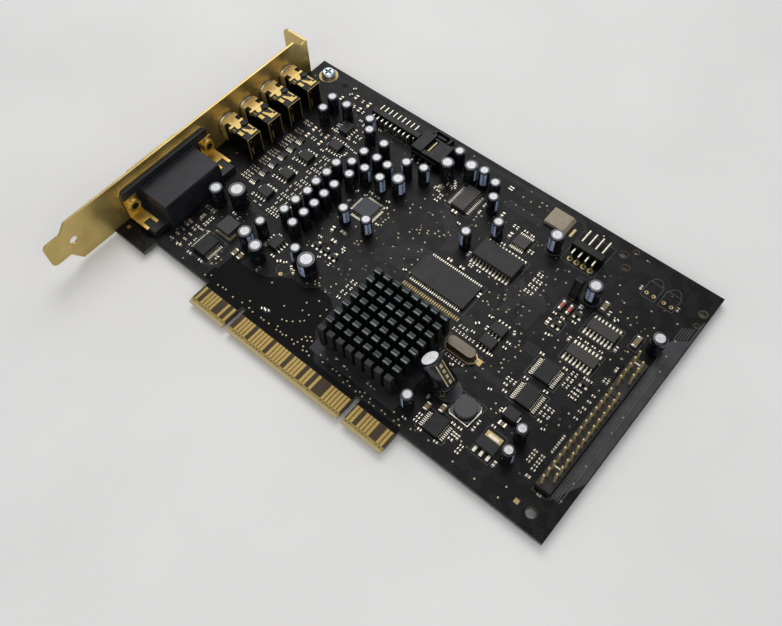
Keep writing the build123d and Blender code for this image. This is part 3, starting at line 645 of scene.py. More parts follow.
def makeHeatSink():
    long, deep, base = sink["pinLength"], sink["pinDepth"], sink["base"]
    rise = sink["height"] - base
    near, far = deep * sink["split"], deep * (1 - sink["split"]) - sink["saw"]
    rows, pitch = sink["pins"], (sink["width"] - deep) / (sink["pins"] - 1)
    body = [(long, deep, -sink["sunk"]), (long, deep, rise - sink["sunk"])]
    foot = rise - sink["topDepth"]
    ahead, behind = (near - deep) / 2 + 0.5 * pitch, (deep - far) / 2 + 0.5 * pitch
    at = Matrix.Translation((*spot(sink["x"], sink["y"]).xy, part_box("heat_sink")[0].z + base * mm))
    # the row nearest the contacts has darker tops, painted shade; elsewhere each top has a painted
    # highlight on its front half and painted shade on its back half
    for name, rings, y, finish, count in (
            ("pins", body, 0.0, blackAnodising, rows),
            ("front_tops", pinTop(near, foot, rise), ahead, paintedHighlightTop, rows - 1),
            ("back_tops", pinTop(far, foot, rise - sink["step"]), behind, paintedShadeTop, rows - 1),
            ("first_row_tops", pinTop(deep, foot, rise), (1 - rows) / 2 * pitch, shadedTop, 1)):
        pin = newPiece("sink_pin", meshOf("sink_pin", pinShape(rings, y)), finish)
        piece = newPiece("heat_sink_" + name, bpy.data.meshes.new("heat_sink_" + name), finish)
        piece = runTree(piece, pinTree, {
            "Pin": pin, "Columns": rows, "Rows": count, "Length": (sink["length"] - long) * mm,
            "Depth": (count - 1) * pitch * mm, "Finish": finish})
        bpy.data.objects.remove(pin)
        piece.data.transform(at)
        settle(piece, "black_anodising", "heat_sink")
    plate = pinShape([(sink["length"], sink["width"], z) for z in (-base, 0)])
    plate.transform(at)
    addPiece("heat_sink_plate", plate, blackAnodising, "black_anodising", "heat_sink",
             edge=sink["plateEdge"])


makeHeatSink()
print("heat sink made")

# Round capacitors: the sleeve's outline is (inset, height) up from the foot and (inset, drop) from the top,
# the stripe is (foot, drop below the top, degrees), and dashes are (first, step, height, degrees at 1 mm)
capacitor = {"height": 7.6, "sides": 28, "share": 0.66, "seam": 0.03, "sunk": 0.12, "ink": 0.02,
             "backing": 0.05, "lip": 0.05, "dish": 0.14,
             "foot": [(0.3, 0.05), (0.22, 0.3), (0, 0.42), (0, 1.0), (0.07, 1.15), (0.07, 1.4), (0, 1.6)],
             "crown": [(0, 0.55), (0.12, 0.2), (0.34, 0.02)],
             "stripe": (1.75, 0.62, 62), "dashes": (2.2, 1.3, 0.75, 28)}
canTops = {"turn": 15, "rise": 0.08, "shrink": 0.06, "gap": 0.03, "steps": 8}
# Radius, node and places (x, y, way the stripe looks in degrees); -45 faces the front corner
canGroups = {
    "small": (2.0, "small_capacitors", [
        (21.4, 81.2, 120), (28.0, 81.5, 150), (22.4, 75.2, 150), (39.0, 81.5, 10), (42.2, 77.6, 150),
        (50.4, 75.8, 160), (47.3, 68.9, 150), (52.6, 69.5, -150), (57.5, 69.3, 20), (47.1, 62.9, 140),
        (52.4, 63.5, 15), (59.0, 63.6, -20), (43.3, 59.2, 140), (50.0, 58.3, 150), (43.6, 54.1, 150),
        (49.1, 51.8, 140), (43.5, 48.9, 150), (49.1, 46.8, 140), (44.0, 44.2, 150), (49.3, 41.8, 150),
        (43.5, 39.0, 140), (49.2, 36.9, 150), (43.3, 33.8, 140), (49.2, 31.6, 150), (61.7, 74.3, -120),
        (67.9, 76.0, 10), (72.7, 89.5, 150), (84.4, 87.9, -60), (90.3, 86.0, 140), (93.4, 80.8, 5),
        (100.8, 73.6, -105), (94.9, 64.1, -110), (67.0, 47.4, -30), (58.1, 46.4, -25), (40.6, 25.3, 150),
        (56.9, 24.8, -110), (117.0, 8.2, -120), (148.2, 20.5, 150), (149.0, 13.0, 10)
    ]),
    "medium": (2.5, "large_capacitors", [
        (64.2, 67.0, -15), (72.6, 82.9, 150), (79.6, 86.9, 5), (19.2, 25.7, 150), (39.7, 19.2, 0),
        (46.3, 17.4, 150), (118.3, 81.1, -100), (138.2, 72.7, -95), (162.7, 69.1, 30)
    ]),
    "large": (3.15, "large_capacitors", [
        (25.3, 29.7, 150), (62.7, 23.8, -95)
    ]),
}


def sleeveProfile(radius, tall, share):
    lip, floor = radius * share, tall - capacitor["dish"]
    outline = [(0, capacitor["foot"][0][1])] + [(radius - inset, z) for inset, z in capacitor["foot"]]
    outline += [(radius - inset, tall - drop) for inset, drop in capacitor["crown"]]
    return outline + [(lip, tall), (lip - capacitor["lip"], floor), (0, floor)]


def sectorTop(radius, level, gap):
    # three raised sectors with a scored line between them
    shape = bmesh.new()
    for third in range(3):
        start = math.radians(120 * third + canTops["turn"])
        middle = start + math.radians(60)
        offset = Vector((math.cos(middle), math.sin(middle), 0)) * gap * mm
        rim = [start + math.radians(120) * k / canTops["steps"] for k in range(canTops["steps"] + 1)]
        rings = []
        for height, shrink in ((level, 0.0), (level + canTops["rise"], canTops["shrink"])):
            out = (radius - gap - shrink) * mm
            around = [(0, 0)] + [(out * math.cos(a), out * math.sin(a)) for a in rim]
            rings.append([shape.verts.new(offset + Vector((x, y, height * mm))) for x, y in around])
        lower, upper = rings
        shape.faces.new(upper)
        shape.faces.new(lower[::-1])
        for k in range(len(upper)):
            after = (k + 1) % len(upper)
            shape.faces.new((lower[k], lower[after], upper[after], upper[k]))
    return shape


def stripeInto(shape, radius, low, high, span, steps=6):
    # a thin printed patch that hugs the sleeve, centred on +x
    angles = [math.radians(span) * (k / steps - 0.5) for k in range(steps + 1)]
    back, rows = ([[shape.verts.new((out * math.cos(a), out * math.sin(a), z * mm)) for a in angles]
                   for z in (low, high)]
                  for out in ((radius - capacitor["backing"]) * mm, (radius + capacitor["ink"]) * mm))
    for k in range(steps):
        shape.faces.new((rows[0][k], rows[0][k + 1], rows[1][k + 1], rows[1][k]))
        shape.faces.new((back[0][k + 1], back[0][k], back[1][k], back[1][k + 1]))
        for row in (0, 1):
            shape.faces.new((rows[row][k], rows[row][k + 1], back[row][k + 1], back[row][k]))
    for k in (0, steps):
        shape.faces.new((rows[0][k], rows[1][k], back[1][k], back[0][k]))
    bmesh.ops.recalc_face_normals(shape, faces=shape.faces)


def stripeOf(radius, tall, marks):
    shape = bmesh.new()
    foot, drop, span = marks
    stripeInto(shape, radius, foot, tall - drop, span)
    return shape


def dashesOf(radius, first, step, tall, span):
    # four short marks that lie on the stripe
    shape = bmesh.new()
    for k in range(4):
        foot = first + step * k
        stripeInto(shape, radius + capacitor["ink"], foot, foot + tall, span)
    return shape


def makeCans():
    tall, share = capacitor["height"], capacitor["share"]
    first, step, dash, spread = capacitor["dashes"]
    for label, (radius, node, cans) in canGroups.items():
        sleeve = lathed(sleeveProfile(radius, tall, share), capacitor["sides"])
        top = sectorTop(radius * share - capacitor["seam"], tall - capacitor["sunk"], canTops["gap"])
        for part, shape, finish, *nodes in (
                ("sleeves", sleeve, sleeveFilm, node), ("tops", top, canTop),
                ("stripes", stripeOf(radius, tall, capacitor["stripe"]), stripeInk),
                ("dashes", dashesOf(radius, first, step, dash, spread / radius), sleeveFilm)):
            places = [(x, y, 0, way) for x, y, way in cans]
            repeat(label + "_can_" + part, shape, places, finish, "capacitor_sleeve", *nodes)


makeCans()

# The tall capacitor that leans towards the heat sink: a dark band with cream dashes and two cream borders
leaning = {"base": (122.246, 19.6, 2.45), "radius": 3.9, "length": 11.2, "lean": -34, "stripeWay": -4,
           "share": 0.7, "sides": 40, "gap": 0.06, "band": (1.8, 0.8, 48), "dashes": (2.3, 2.1, 1.3, 13),
           "border": (1.9, 0.9, 5), "borderWay": 20, "bungSides": 32,
           "bung": [(0.5, -0.15), (0.4, 0.0), (0.4, 0.2)]}  # (inset, height)


def makeLeaningCan():
    radius, tall, share = leaning["radius"], leaning["length"], leaning["share"]
    stand = Matrix.Translation(spot(*leaning["base"]))
    for angle, axis in ((leaning["lean"], "Y"), (leaning["stripeWay"], "Z")):
        stand = stand @ Matrix.Rotation(math.radians(angle), 4, axis)
    dashes = dashesOf(radius, *leaning["dashes"])
    for side in (-1, 1):
        border = stripeOf(radius + capacitor["ink"], tall, leaning["border"])
        joinInto(dashes, border, Matrix.Rotation(math.radians(side * leaning["borderWay"]), 4, "Z"))
    bung = [(radius - inset, z) for inset, z in leaning["bung"]]
    bung = [(0, bung[0][1]), *bung, (0, bung[-1][1])]
    for name, shape, finish, *nodes in (
            ("sleeve", lathed(sleeveProfile(radius, tall, share), leaning["sides"]), sleeveFilm,
             "leaning_capacitor"),
            ("top", sectorTop(radius * share - capacitor["seam"], tall - capacitor["sunk"], leaning["gap"]),
             whiteTop),
            ("stripe", stripeOf(radius, tall, leaning["band"]), bandInk), ("dashes", dashes, dashInk),
            ("bung", lathed(bung, leaning["bungSides"]), bungRubber)):
        shape.transform(stand)
        addPiece("leaning_can_" + name, shape, finish, "capacitor_sleeve", *nodes, smooth=True)


makeLeaningCan()
print("capacitors made")

# Fine leads: centres, leads on a side, pitch, span, body across, sides, shoulder height and lead width
leadGroups = {
    "memory": ([(99.3, 48.6)], 25, 0.8, 11.76, 10.16, "y", 0.55, 0.36),
    "converter": ([(142.2, 42.3), (142.6, 32.3), (29.7, 9.7)], 10, 0.65, 7.8, 5.3, "x", 0.9, 0.3),
    "controller": ([(127.5, 8.2)], 8, 0.65, 7.8, 5.3, "x", 0.9, 0.28),
    "receiver": ([(84.2, 78.7)], 14, 0.65, 7.8, 5.3, "x", 0.9, 0.22),
    "buffer": ([(109.0, 76.2)], 8, 0.65, 6.4, 4.4, "y", 0.6, 0.3),
    "codec": ([(60.8, 54.4)], 12, 0.5, 9.0, 7.0, "xy", 0.75, 0.26),
    "line_amplifier": ([(33.7, 68.8), (28.9, 58.6), (28.9, 48.5), (28.9, 38.3), (122.8, 45.0),
                        (122.8, 39.6)], 4, 1.27, 6.0, 3.9, "y", 0.85, 0.45),
    "output_amplifier": ([(46.7, 25.2), (31.2, 77.3)], 4, 1.27, 6.0, 3.9, "x", 0.85, 0.45),
    "switch": ([(21.8, 63.3), (21.8, 58.6), (21.8, 53.9), (21.8, 49.3), (21.8, 44.7), (21.8, 40.1)],
               4, 0.65, 3.4, 1.8, "front", 0.5, 0.32),
}
lead = {"thick": 0.14, "root": 0.12, "knee": 0.28, "heel": (0.5, 0.16), "toe": (0.4, 0.15), "lift": 0.02,
        "ways": {"x": (0, 180), "y": (90, 270), "xy": (0, 90, 180, 270), "front": (270,)}}


def makeLeads():
    for name, (centres, count, pitch, span, across, sides, shoulder, width) in leadGroups.items():
        half, out = across / 2, span / 2 - across / 2
        (heel, heelLevel), (toe, toeLevel) = lead["heel"], lead["toe"]
        bend = [(half - lead["root"], shoulder), (half + lead["knee"] * out, shoulder),
                (half + heel * out, heelLevel), (span / 2 + toe, toeLevel)]
        places = []
        for x, y in centres:
            for turn in lead["ways"][sides]:
                for along in centred(count, pitch):
                    place = (x + along, y) if turn in (90, 270) else (x, y + along)
                    places.append((*place, lead["lift"], turn))
        finish = solder if sides == "front" else tinLead
        repeat(name + "_leads", bentStrip(bend, width, lead["thick"]), places, finish, "tinned_leads")


makeLeads()

# Solder pads under the wide leads: centres, leads on a side and lead tips from the middle
footPads = {"bridge": ([(107.4, 65.5)], 12, 4.85), "logic": ([(147.4, 64.6), (147.4, 53.4)], 8, 3.05)}
footPad = {"size": (0.68, 1.8, 0.12), "edge": 0.06, "pitch": 1.27}


def makeFootPads():
    places = [(x + along, y + way * tip, 0) for centres, count, tip in footPads.values() for x, y in centres
              for along in centred(count, footPad["pitch"]) for way in (-1, 1)]
    pattern = easedBox(footPad["size"], 0, tinLead, footPad["edge"])
    repeat("foot_pads", pattern, places, tinLead, "tinned_leads")


makeFootPads()

# Small packages that the solids leave out: eight-leg switches and three-leg transistors, places and size
smallChips = {
    "switch_bodies": (leadGroups["switch"][0], (2.5, 1.8, 0.7)),
    "transistor_bodies": ([(57.6, 33.3), (61.4, 33.3), (65.1, 33.3), (138.5, 65.0), (135.4, 58.0),
                           (153.0, 46.6)], (2.7, 1.35, 0.95)),
}
# Legs are (x, side of the body), and bend along (reach, height) points
smallChip = {"lift": 0.1, "edge": 0.12, "legs": ((-0.95, -1), (0.95, -1), (0, 1)), "legWidth": 0.8,
             "bend": [(0.55, 0.5), (0.8, 0.5), (0.95, 0.15), (1.6, 0.14)], "legThick": 0.13}


def makeSmallChips():
    for name, (centres, size) in smallChips.items():
        body = easedBox(size, smallChip["lift"], chipEpoxy, smallChip["edge"])
        repeat(name, body, [(x, y, 0) for x, y in centres], chipEpoxy, "chip_epoxy")
    legs = bmesh.new()
    for x, side in smallChip["legs"]:
        turn = Matrix.Rotation(math.radians(90 * side), 4, "Z")
        leg = bentStrip(smallChip["bend"], smallChip["legWidth"], smallChip["legThick"])
        joinInto(legs, leg, Matrix.Translation((x * mm, 0, 0)) @ turn)
    places = [(x, y, lead["lift"]) for x, y in smallChips["transistor_bodies"][0]]
    repeat("transistor_legs", legs, places, tinLead, "tinned_leads")


makeSmallChips()
print("leads and small chips made")

# Chip parts: one is (x, y, turn, size) and a row is (x, y, turn, count, step x, step y, size);
# turn 0 lies along x, 90 along y
chipPart = {"length": 1.55, "width": 0.8, "height": 0.5, "cap": 0.36, "pad": 0.26, "lift": 0.02, "seed": 7,
            "tan": 0.45, "skin": 0.03, "tickLength": 1.4, "tickWidth": 0.1, "tickGap": 0.3, "ticked": 0.6}
chipRows = [
    # beside the jacks and switches
    *[(17.1, base - 1.25 * k, 0, 2, 2.05, 0, 0.7)
      for base in (71.4, 66.6, 62.6, 58.4, 54.2, 49.6, 45.4, 41.2)
      for k in (0, 1, 2) if (base, k) not in ((71.4, 2), (66.6, 2), (58.4, 2), (45.4, 0))],
    (22.1, 70.1, 90, 2, 6.1, 0, 1.25), (22.1, 66.3, 90, 2, 6.15, 0, 1.25),
    (24.1, 70.9, 90, 2, 1.6, -1.0, 0.7), (24.3, 66.6, 90, 2, 1.4, -0.2, 0.7),
    (30.6, 71.2, 90, 2, 0.1, -3.2, 0.75), (31.0, 64.3, 0, 0.8),
    # top left corner
    (23.6, 91.3, 90, 2, 6.1, 0, 1.25), (28.5, 87.2, 90, 1.25), (20.8, 91.2, 60, 0.8),
    (26.8, 91.2, 100, 0.8), (19.5, 87.5, 90, 1.2), (20.0, 94.3, 45, 0.8), (30.4, 87.0, 90, 0.8),
    (25.9, 87.4, 120, 0.8), (32.4, 83.5, 0, 0.8), (34.7, 82.6, 90, 0.8), (40.8, 84.4, 0, 0.8),
    (34.0, 84.9, 0, 0.8),
    # round the upper output amplifier
    (27.4, 77.0, 90, 2, 1.3, 0.6, 0.75), (27.4, 74.3, 0, 0.9), (29.3, 74.2, 0, 0.8),
    (36.4, 77.0, 90, 2, 1.6, 0, 0.75), (34.7, 74.2, 0, 0.9), (37.6, 74.3, 0, 0.8),
    (37.0, 71.4, 0, 3, 2.0, -0.3, 0.7), (38.7, 68.3, 90, 0.8), (36.8, 66.2, 90, 2, 1.3, 0.2, 0.75),
    # round each line amplifier
    *[(28.0, 61.0 - 10.1 * k, 0, 2, 2.9, 0, 0.75) for k in range(3)],
    *[(25.7, 58.9 - 10.1 * k, 90, 2, 0, -3.6, 0.75) for k in range(3)],
    *[(33.6 + 1.22 * c + 0.3 * (r % 2), 62.4 - 2.1 * r, 90, 0.6) for c in range(6)
      for r in range(14) if (5 * c + 3 * r) % 7 not in (1, 4)],
    *[(34.5 + 1.2 * c, 33.2, 90, 0.7) for c in range(5)],
    *[(27.3 + 1.3 * c, 33.1, 0, 0.6) for c in (1, 3)],
    # lower left, beside the port
    (17.4, 21.4, 90, 4, 1.25, 0, 0.75), (19.7, 17.4, 90, 1.4), (22.6, 19.0, 0, 0.8), (22.6, 17.8, 0, 0.8),
    (22.6, 16.6, 0, 0.8), (22.6, 15.4, 0, 0.8), (17.5, 13.4, 0, 2, 3.6, 0, 0.95),
    (17.3, 11.9, 0, 2, 3.7, 0, 0.95), (17.9, 9.6, 0, 2, 3.8, 0, 0.8), (17.9, 7.2, 0, 2, 3.8, 0, 0.8),
    (17.9, 4.8, 0, 0.8), (21.8, 4.4, 20, 1.1), (24.6, 9.2, 90, 0.7), (24.6, 6.9, 90, 0.7),
    (26.0, 13.9, 100, 0.8), (23.3, 13.4, 0, 0.7), (27.0, 25.0, 0, 0.9), (29.6, 24.6, 90, 0.9),
    (27.0, 4.3, 0, 1.0), (32.2, 4.4, 0, 1.0), (35.6, 8.7, 90, 0.8),
    # round the lower output amplifier and codec
    (45.4, 28.3, 0, 0.8), (44.3, 22.4, 0, 0.8), (49.3, 20.8, 0, 0.9), (52.4, 20.6, 45, 1.0),
    (54.3, 21.6, 45, 0.8), (57.3, 21.3, 135, 0.9), (58.9, 20.6, 120, 0.9), (61.0, 42.3, 0, 1.25),
    (57.3, 41.4, 100, 1.2), (60.9, 37.8, 0, 1.2), (65.3, 37.6, 90, 2, 0.9, -0.9, 0.8),
    (58.2, 29.0, 30, 2, 3.1, 1.1, 0.7), (60.0, 60.7, 0, 2, -2.9, 0, 0.95), (64.1, 61.4, 20, 0.95),
    (56.5, 58.9, 45, 0.8), (65.3, 58.9, 45, 0.9), (67.5, 51.9, 0, 0.8),
    (52.9, 58.4, 60, 2, 0.6, -4.6, 0.8), (56.0, 36.4, 0, 0.8), (66.0, 30.0, 90, 0.8),
    (64.5, 33.9, 90, 0.6),
    # beside the heat sink
    *[(76.0, y, 90, 2, 1.6, 0, 0.68) for y in (29.9, 27.6, 25.1)], (76.7, 22.6, 0, 0.85),
    (61.1, 4.6, 30, 2, 1.5, 0.3, 0.9), (90.4, 6.9, 120, 1.0), (94.0, 6.6, 110, 1.0),
    (103.5, 6.5, 90, 2, 1.35, 0, 0.75), (49.2, 14.3, 90, 1.0),
    # round the receiver
    (76.6, 82.6, 150, 2, 0.7, -1.0, 0.8), (77.8, 80.6, 150, 2, -1.0, -0.6, 0.8), (75.0, 80.6, 90, 0.75),
    (73.3, 77.6, 90, 3, 0.75, 0.25, 0.72), (72.6, 76.5, 90, 0.7), (74.4, 75.9, 0, 0.8),
    (76.4, 75.1, 0, 0.8), (76.5, 73.7, 0, 0.8), (76.3, 72.2, 0, 0.85), (84.2, 72.2, 0, 1.3),
    (88.3, 69.4, 0, 0.8), (90.4, 81.0, 90, 2, 0.4, -3.4, 0.8), (97.5, 81.6, 90, 1.1),
    (103.2, 80.2, 90, 2, 1.3, 0, 0.75), (92.7, 92.3, 90, 2, 0.9, 0, 0.95), (104.4, 76.4, 90, 1.2),
    (112.9, 75.0, 90, 2, 1.2, 0, 0.75), (104.7, 71.8, 0, 1.0), (107.6, 80.6, 0, 0.9),
    (110.3, 80.5, 0, 0.8), (98.4, 61.9, 90, 1.0),
    # under the bus bridge and round the memory
    (101.1, 58.6, 90, 2, 1.0, 0, 0.7), (104.9, 58.3, 0, 0.85), (95.1, 56.0, 0, 1.1),
    (100.0, 56.0, 0, 1.1), (110.6, 51.2, 90, 1.1), (86.2, 43.9, 30, 0.8),
    # block right of the bus bridge
    *[(120.4 + 1.25 * c, 69.6 - 2.5 * r, 90, 0.72) for c in range(3)
      for r in range(4) if (c, r) != (2, 0)],
    # round the diodes, transistors and logic chips
    (137.9, 67.9, 90, 2, -0.7, 0, 0.75), (132.4, 60.9, 0, 2, 2.9, 0, 0.8), (138.9, 61.8, 0, 0.85),
    (132.5, 57.4, 90, 1.3), (134.9, 53.2, 10, 0.95), (140.9, 56.3, 90, 0.9), (145.5, 71.4, 90, 1.0),
    (148.5, 70.5, 45, 1.0), (143.3, 58.3, 0, 4, 2.5, 0, 0.8), (153.8, 62.2, 90, 1.0),
    (157.6, 56.4, 90, 0.9), (156.7, 51.2, 90, 2, 1.15, 0, 0.8), (148.0, 85.9, 90, 2, 13.0, 0, 0.8),
    # round the small amplifiers
    (117.9, 47.3, 0, 0.85), (127.0, 47.3, 120, 0.85), (127.7, 43.3, 0, 2, 0, -2.1, 0.85),
    (111.6, 36.9, 90, 7, 1.25, 0, 0.58), (112.6, 38.9, 90, 3, 1.3, 0, 0.55), (117.0, 39.6, 0, 0.8),
    (116.2, 42.9, 45, 0.95), (125.9, 36.6, 0, 0.8), (119.4, 43.4, 90, 0.9),
    # left and right of the converters
    *[(134.4 + 1.3 * c, 33.7, 90, 0.75) for c in range(3)], (135.1, 31.6, 0, 0.85), (136.2, 29.6, 0, 0.9),
    (132.5, 27.4, 20, 0.8), (137.6, 46.7, 0, 0.95), (145.8, 46.9, 0, 0.95), (138.6, 37.0, 0, 0.95),
    (145.6, 37.0, 0, 0.95),
    *[(148.2 + 1.35 * c, 47.2 - 2.35 * r, 90, 0.72) for c in range(2) for r in range(3)],
    *[(151.8 + 1.45 * c, 43.4 - 1.5 * r, 0, 0.75) for c in range(2) for r in range(3)],
    *[(148.2 + 1.3 * c, 33.2 - 2.4 * r, 90, 0.72) for c in range(3) for r in range(2)],
    (149.5, 28.4, 0, 0.85), (151.7, 26.9, 20, 0.8), (152.2, 48.0, 0, 2, 1.6, 0, 0.85),
    # column beside the pin header
    (157.1, 44.7, 0, 0.8), (157.1, 42.3, 0, 0.8), (157.1, 39.7, 0, 0.8), (156.7, 38.1, 0, 0.7),
    (157.0, 35.6, 0, 0.8), (157.6, 28.7, 90, 4, 0, -1.75, 0.75),
    *[(153.9 + 2.5 * c, 20.2 - 1.2 * r, 0, 0.78) for c in range(2) for r in range(4)],
    (156.5, 15.3, 0, 0.9), (156.5, 12.8, 0, 1.0), (161.9, 10.3, 0, 0.8),
    # round the choke and power controller
    (141.9, 20.7, 0, 1.6), (140.4, 18.7, 0, 0.85), (136.4, 17.0, 90, 2, 0, -2.5, 0.85),
    (131.0, 12.0, 0, 2, 2.4, 0, 0.85), (132.7, 9.6, 90, 3, 0.95, 0, 0.85), (133.2, 7.7, 0, 0.95),
    (137.0, 8.1, 0, 3, 0, -1.2, 0.8), (121.9, 8.3, 0, 3, 0, -1.25, 0.8), (118.9, 4.4, 0, 0.85),
    (124.6, 4.4, 0, 0.85), (130.5, 4.4, 0, 0.85), (147.2, 9.8, 90, 1.05), (138.9, 24.3, 90, 0.8),
    (112.8, 28.6, 90, 8, 1.25, 0, 0.62), (118.8, 26.6, 30, 0.85), (120.0, 14.3, 90, 0.8),
    (106.2, 6.5, 90, 0.75),
]

# Larger ceramic blocks: x, y, width and length along y
blockParts = [(157.3, 67.8, 1.7, 4.0), (143.2, 72.4, 1.6, 3.4), (125.8, 13.6, 1.5, 2.6),
              (121.9, 11.3, 1.5, 2.6), (39.0, 13.8, 1.5, 2.6), (41.4, 13.8, 1.5, 2.6)]
blockEnd = {"skin": 0.03, "proud": 0.06, "cap": 0.5, "height": 1.24, "edge": 0.08}


def chipEnds(long, wide, tall, cap, pad):
    # metal caps, each with a fillet that runs down to the pad
    shape, skin = bmesh.new(), chipPart["skin"]
    inner, outer = long / 2 - cap, long / 2
    section = [(inner, 0.0), (outer + pad, 0.0), (outer + 0.04, tall * 0.55), (outer - 0.05, tall + skin),
               (inner, tall + skin)]
    for way in (-1, 1):
        rows = [[shape.verts.new((way * x * mm, side * (wide / 2 + skin) * mm, z * mm)) for x, z in section]
                for side in (-1, 1)]
        shape.faces.new(rows[0])
        shape.faces.new(rows[1][::-1])
        for k in range(len(section)):
            after = (k + 1) % len(section)
            shape.faces.new((rows[0][k], rows[1][k], rows[1][after], rows[0][after]))
    bmesh.ops.recalc_face_normals(shape, faces=shape.faces)
    return shape


def makeChipParts():
    random.seed(chipPart["seed"])
    long, wide, tall, cap, pad = (chipPart[key] for key in ("length", "width", "height", "cap", "pad"))
    tan, black = [], []
    for x, y, turn, *row, size in chipRows:
        count, stepX, stepY = row or (1, 0, 0)
        for k in range(count):
            place = (x + stepX * k, y + stepY * k, chipPart["lift"], turn, size)
            (tan if size > 1.0 or random.random() < chipPart["tan"] else black).append(place)
    reach = long / 2 - cap + 0.02
    for name, places, finish, slot in (("ceramic_chip_bodies", tan, ceramicTan, "chip_ceramic"),
                                       ("resistor_chip_bodies", black, resistorBlack, "chip_epoxy")):
        body = boxes([((-reach, -wide / 2, 0.04), (reach, wide / 2, tall))], local)
        repeat(name, body, places, finish, slot)
    repeat("chip_part_ends", chipEnds(long, wide, tall, cap, pad), tan + black, solder, "tinned_leads")
    # a screen line on each long side of most of them
    end, half = chipPart["tickLength"] / 2, chipPart["tickWidth"] / 2
    lines = [way * (wide / 2 + chipPart["tickGap"]) for way in (-1, 1)]
    ticks = boxes([((-end, line - half, 0), (end, line + half, 0.02)) for line in lines], local)
    ticked = [place for place in tan + black if random.random() < chipPart["ticked"]]
    repeat("screen_ticks", ticks, ticked, silkInk, "solder_mask_board")
    for k, (x, y, wide, long) in enumerate(blockParts):
        caps, half = [], wide / 2 + blockEnd["skin"]
        for way in (-1, 1):
            end = y + way * long / 2
            low, high = sorted((end + way * blockEnd["proud"], end - way * blockEnd["cap"]))
            caps.append(((x - half, low, 0), (x + half, high, blockEnd["height"])))
        addPiece("block_ends_%d" % k, boxes(caps), solder, "tinned_leads", edge=blockEnd["edge"])
    return len(tan) + len(black)


print("chip parts made:", makeChipParts())

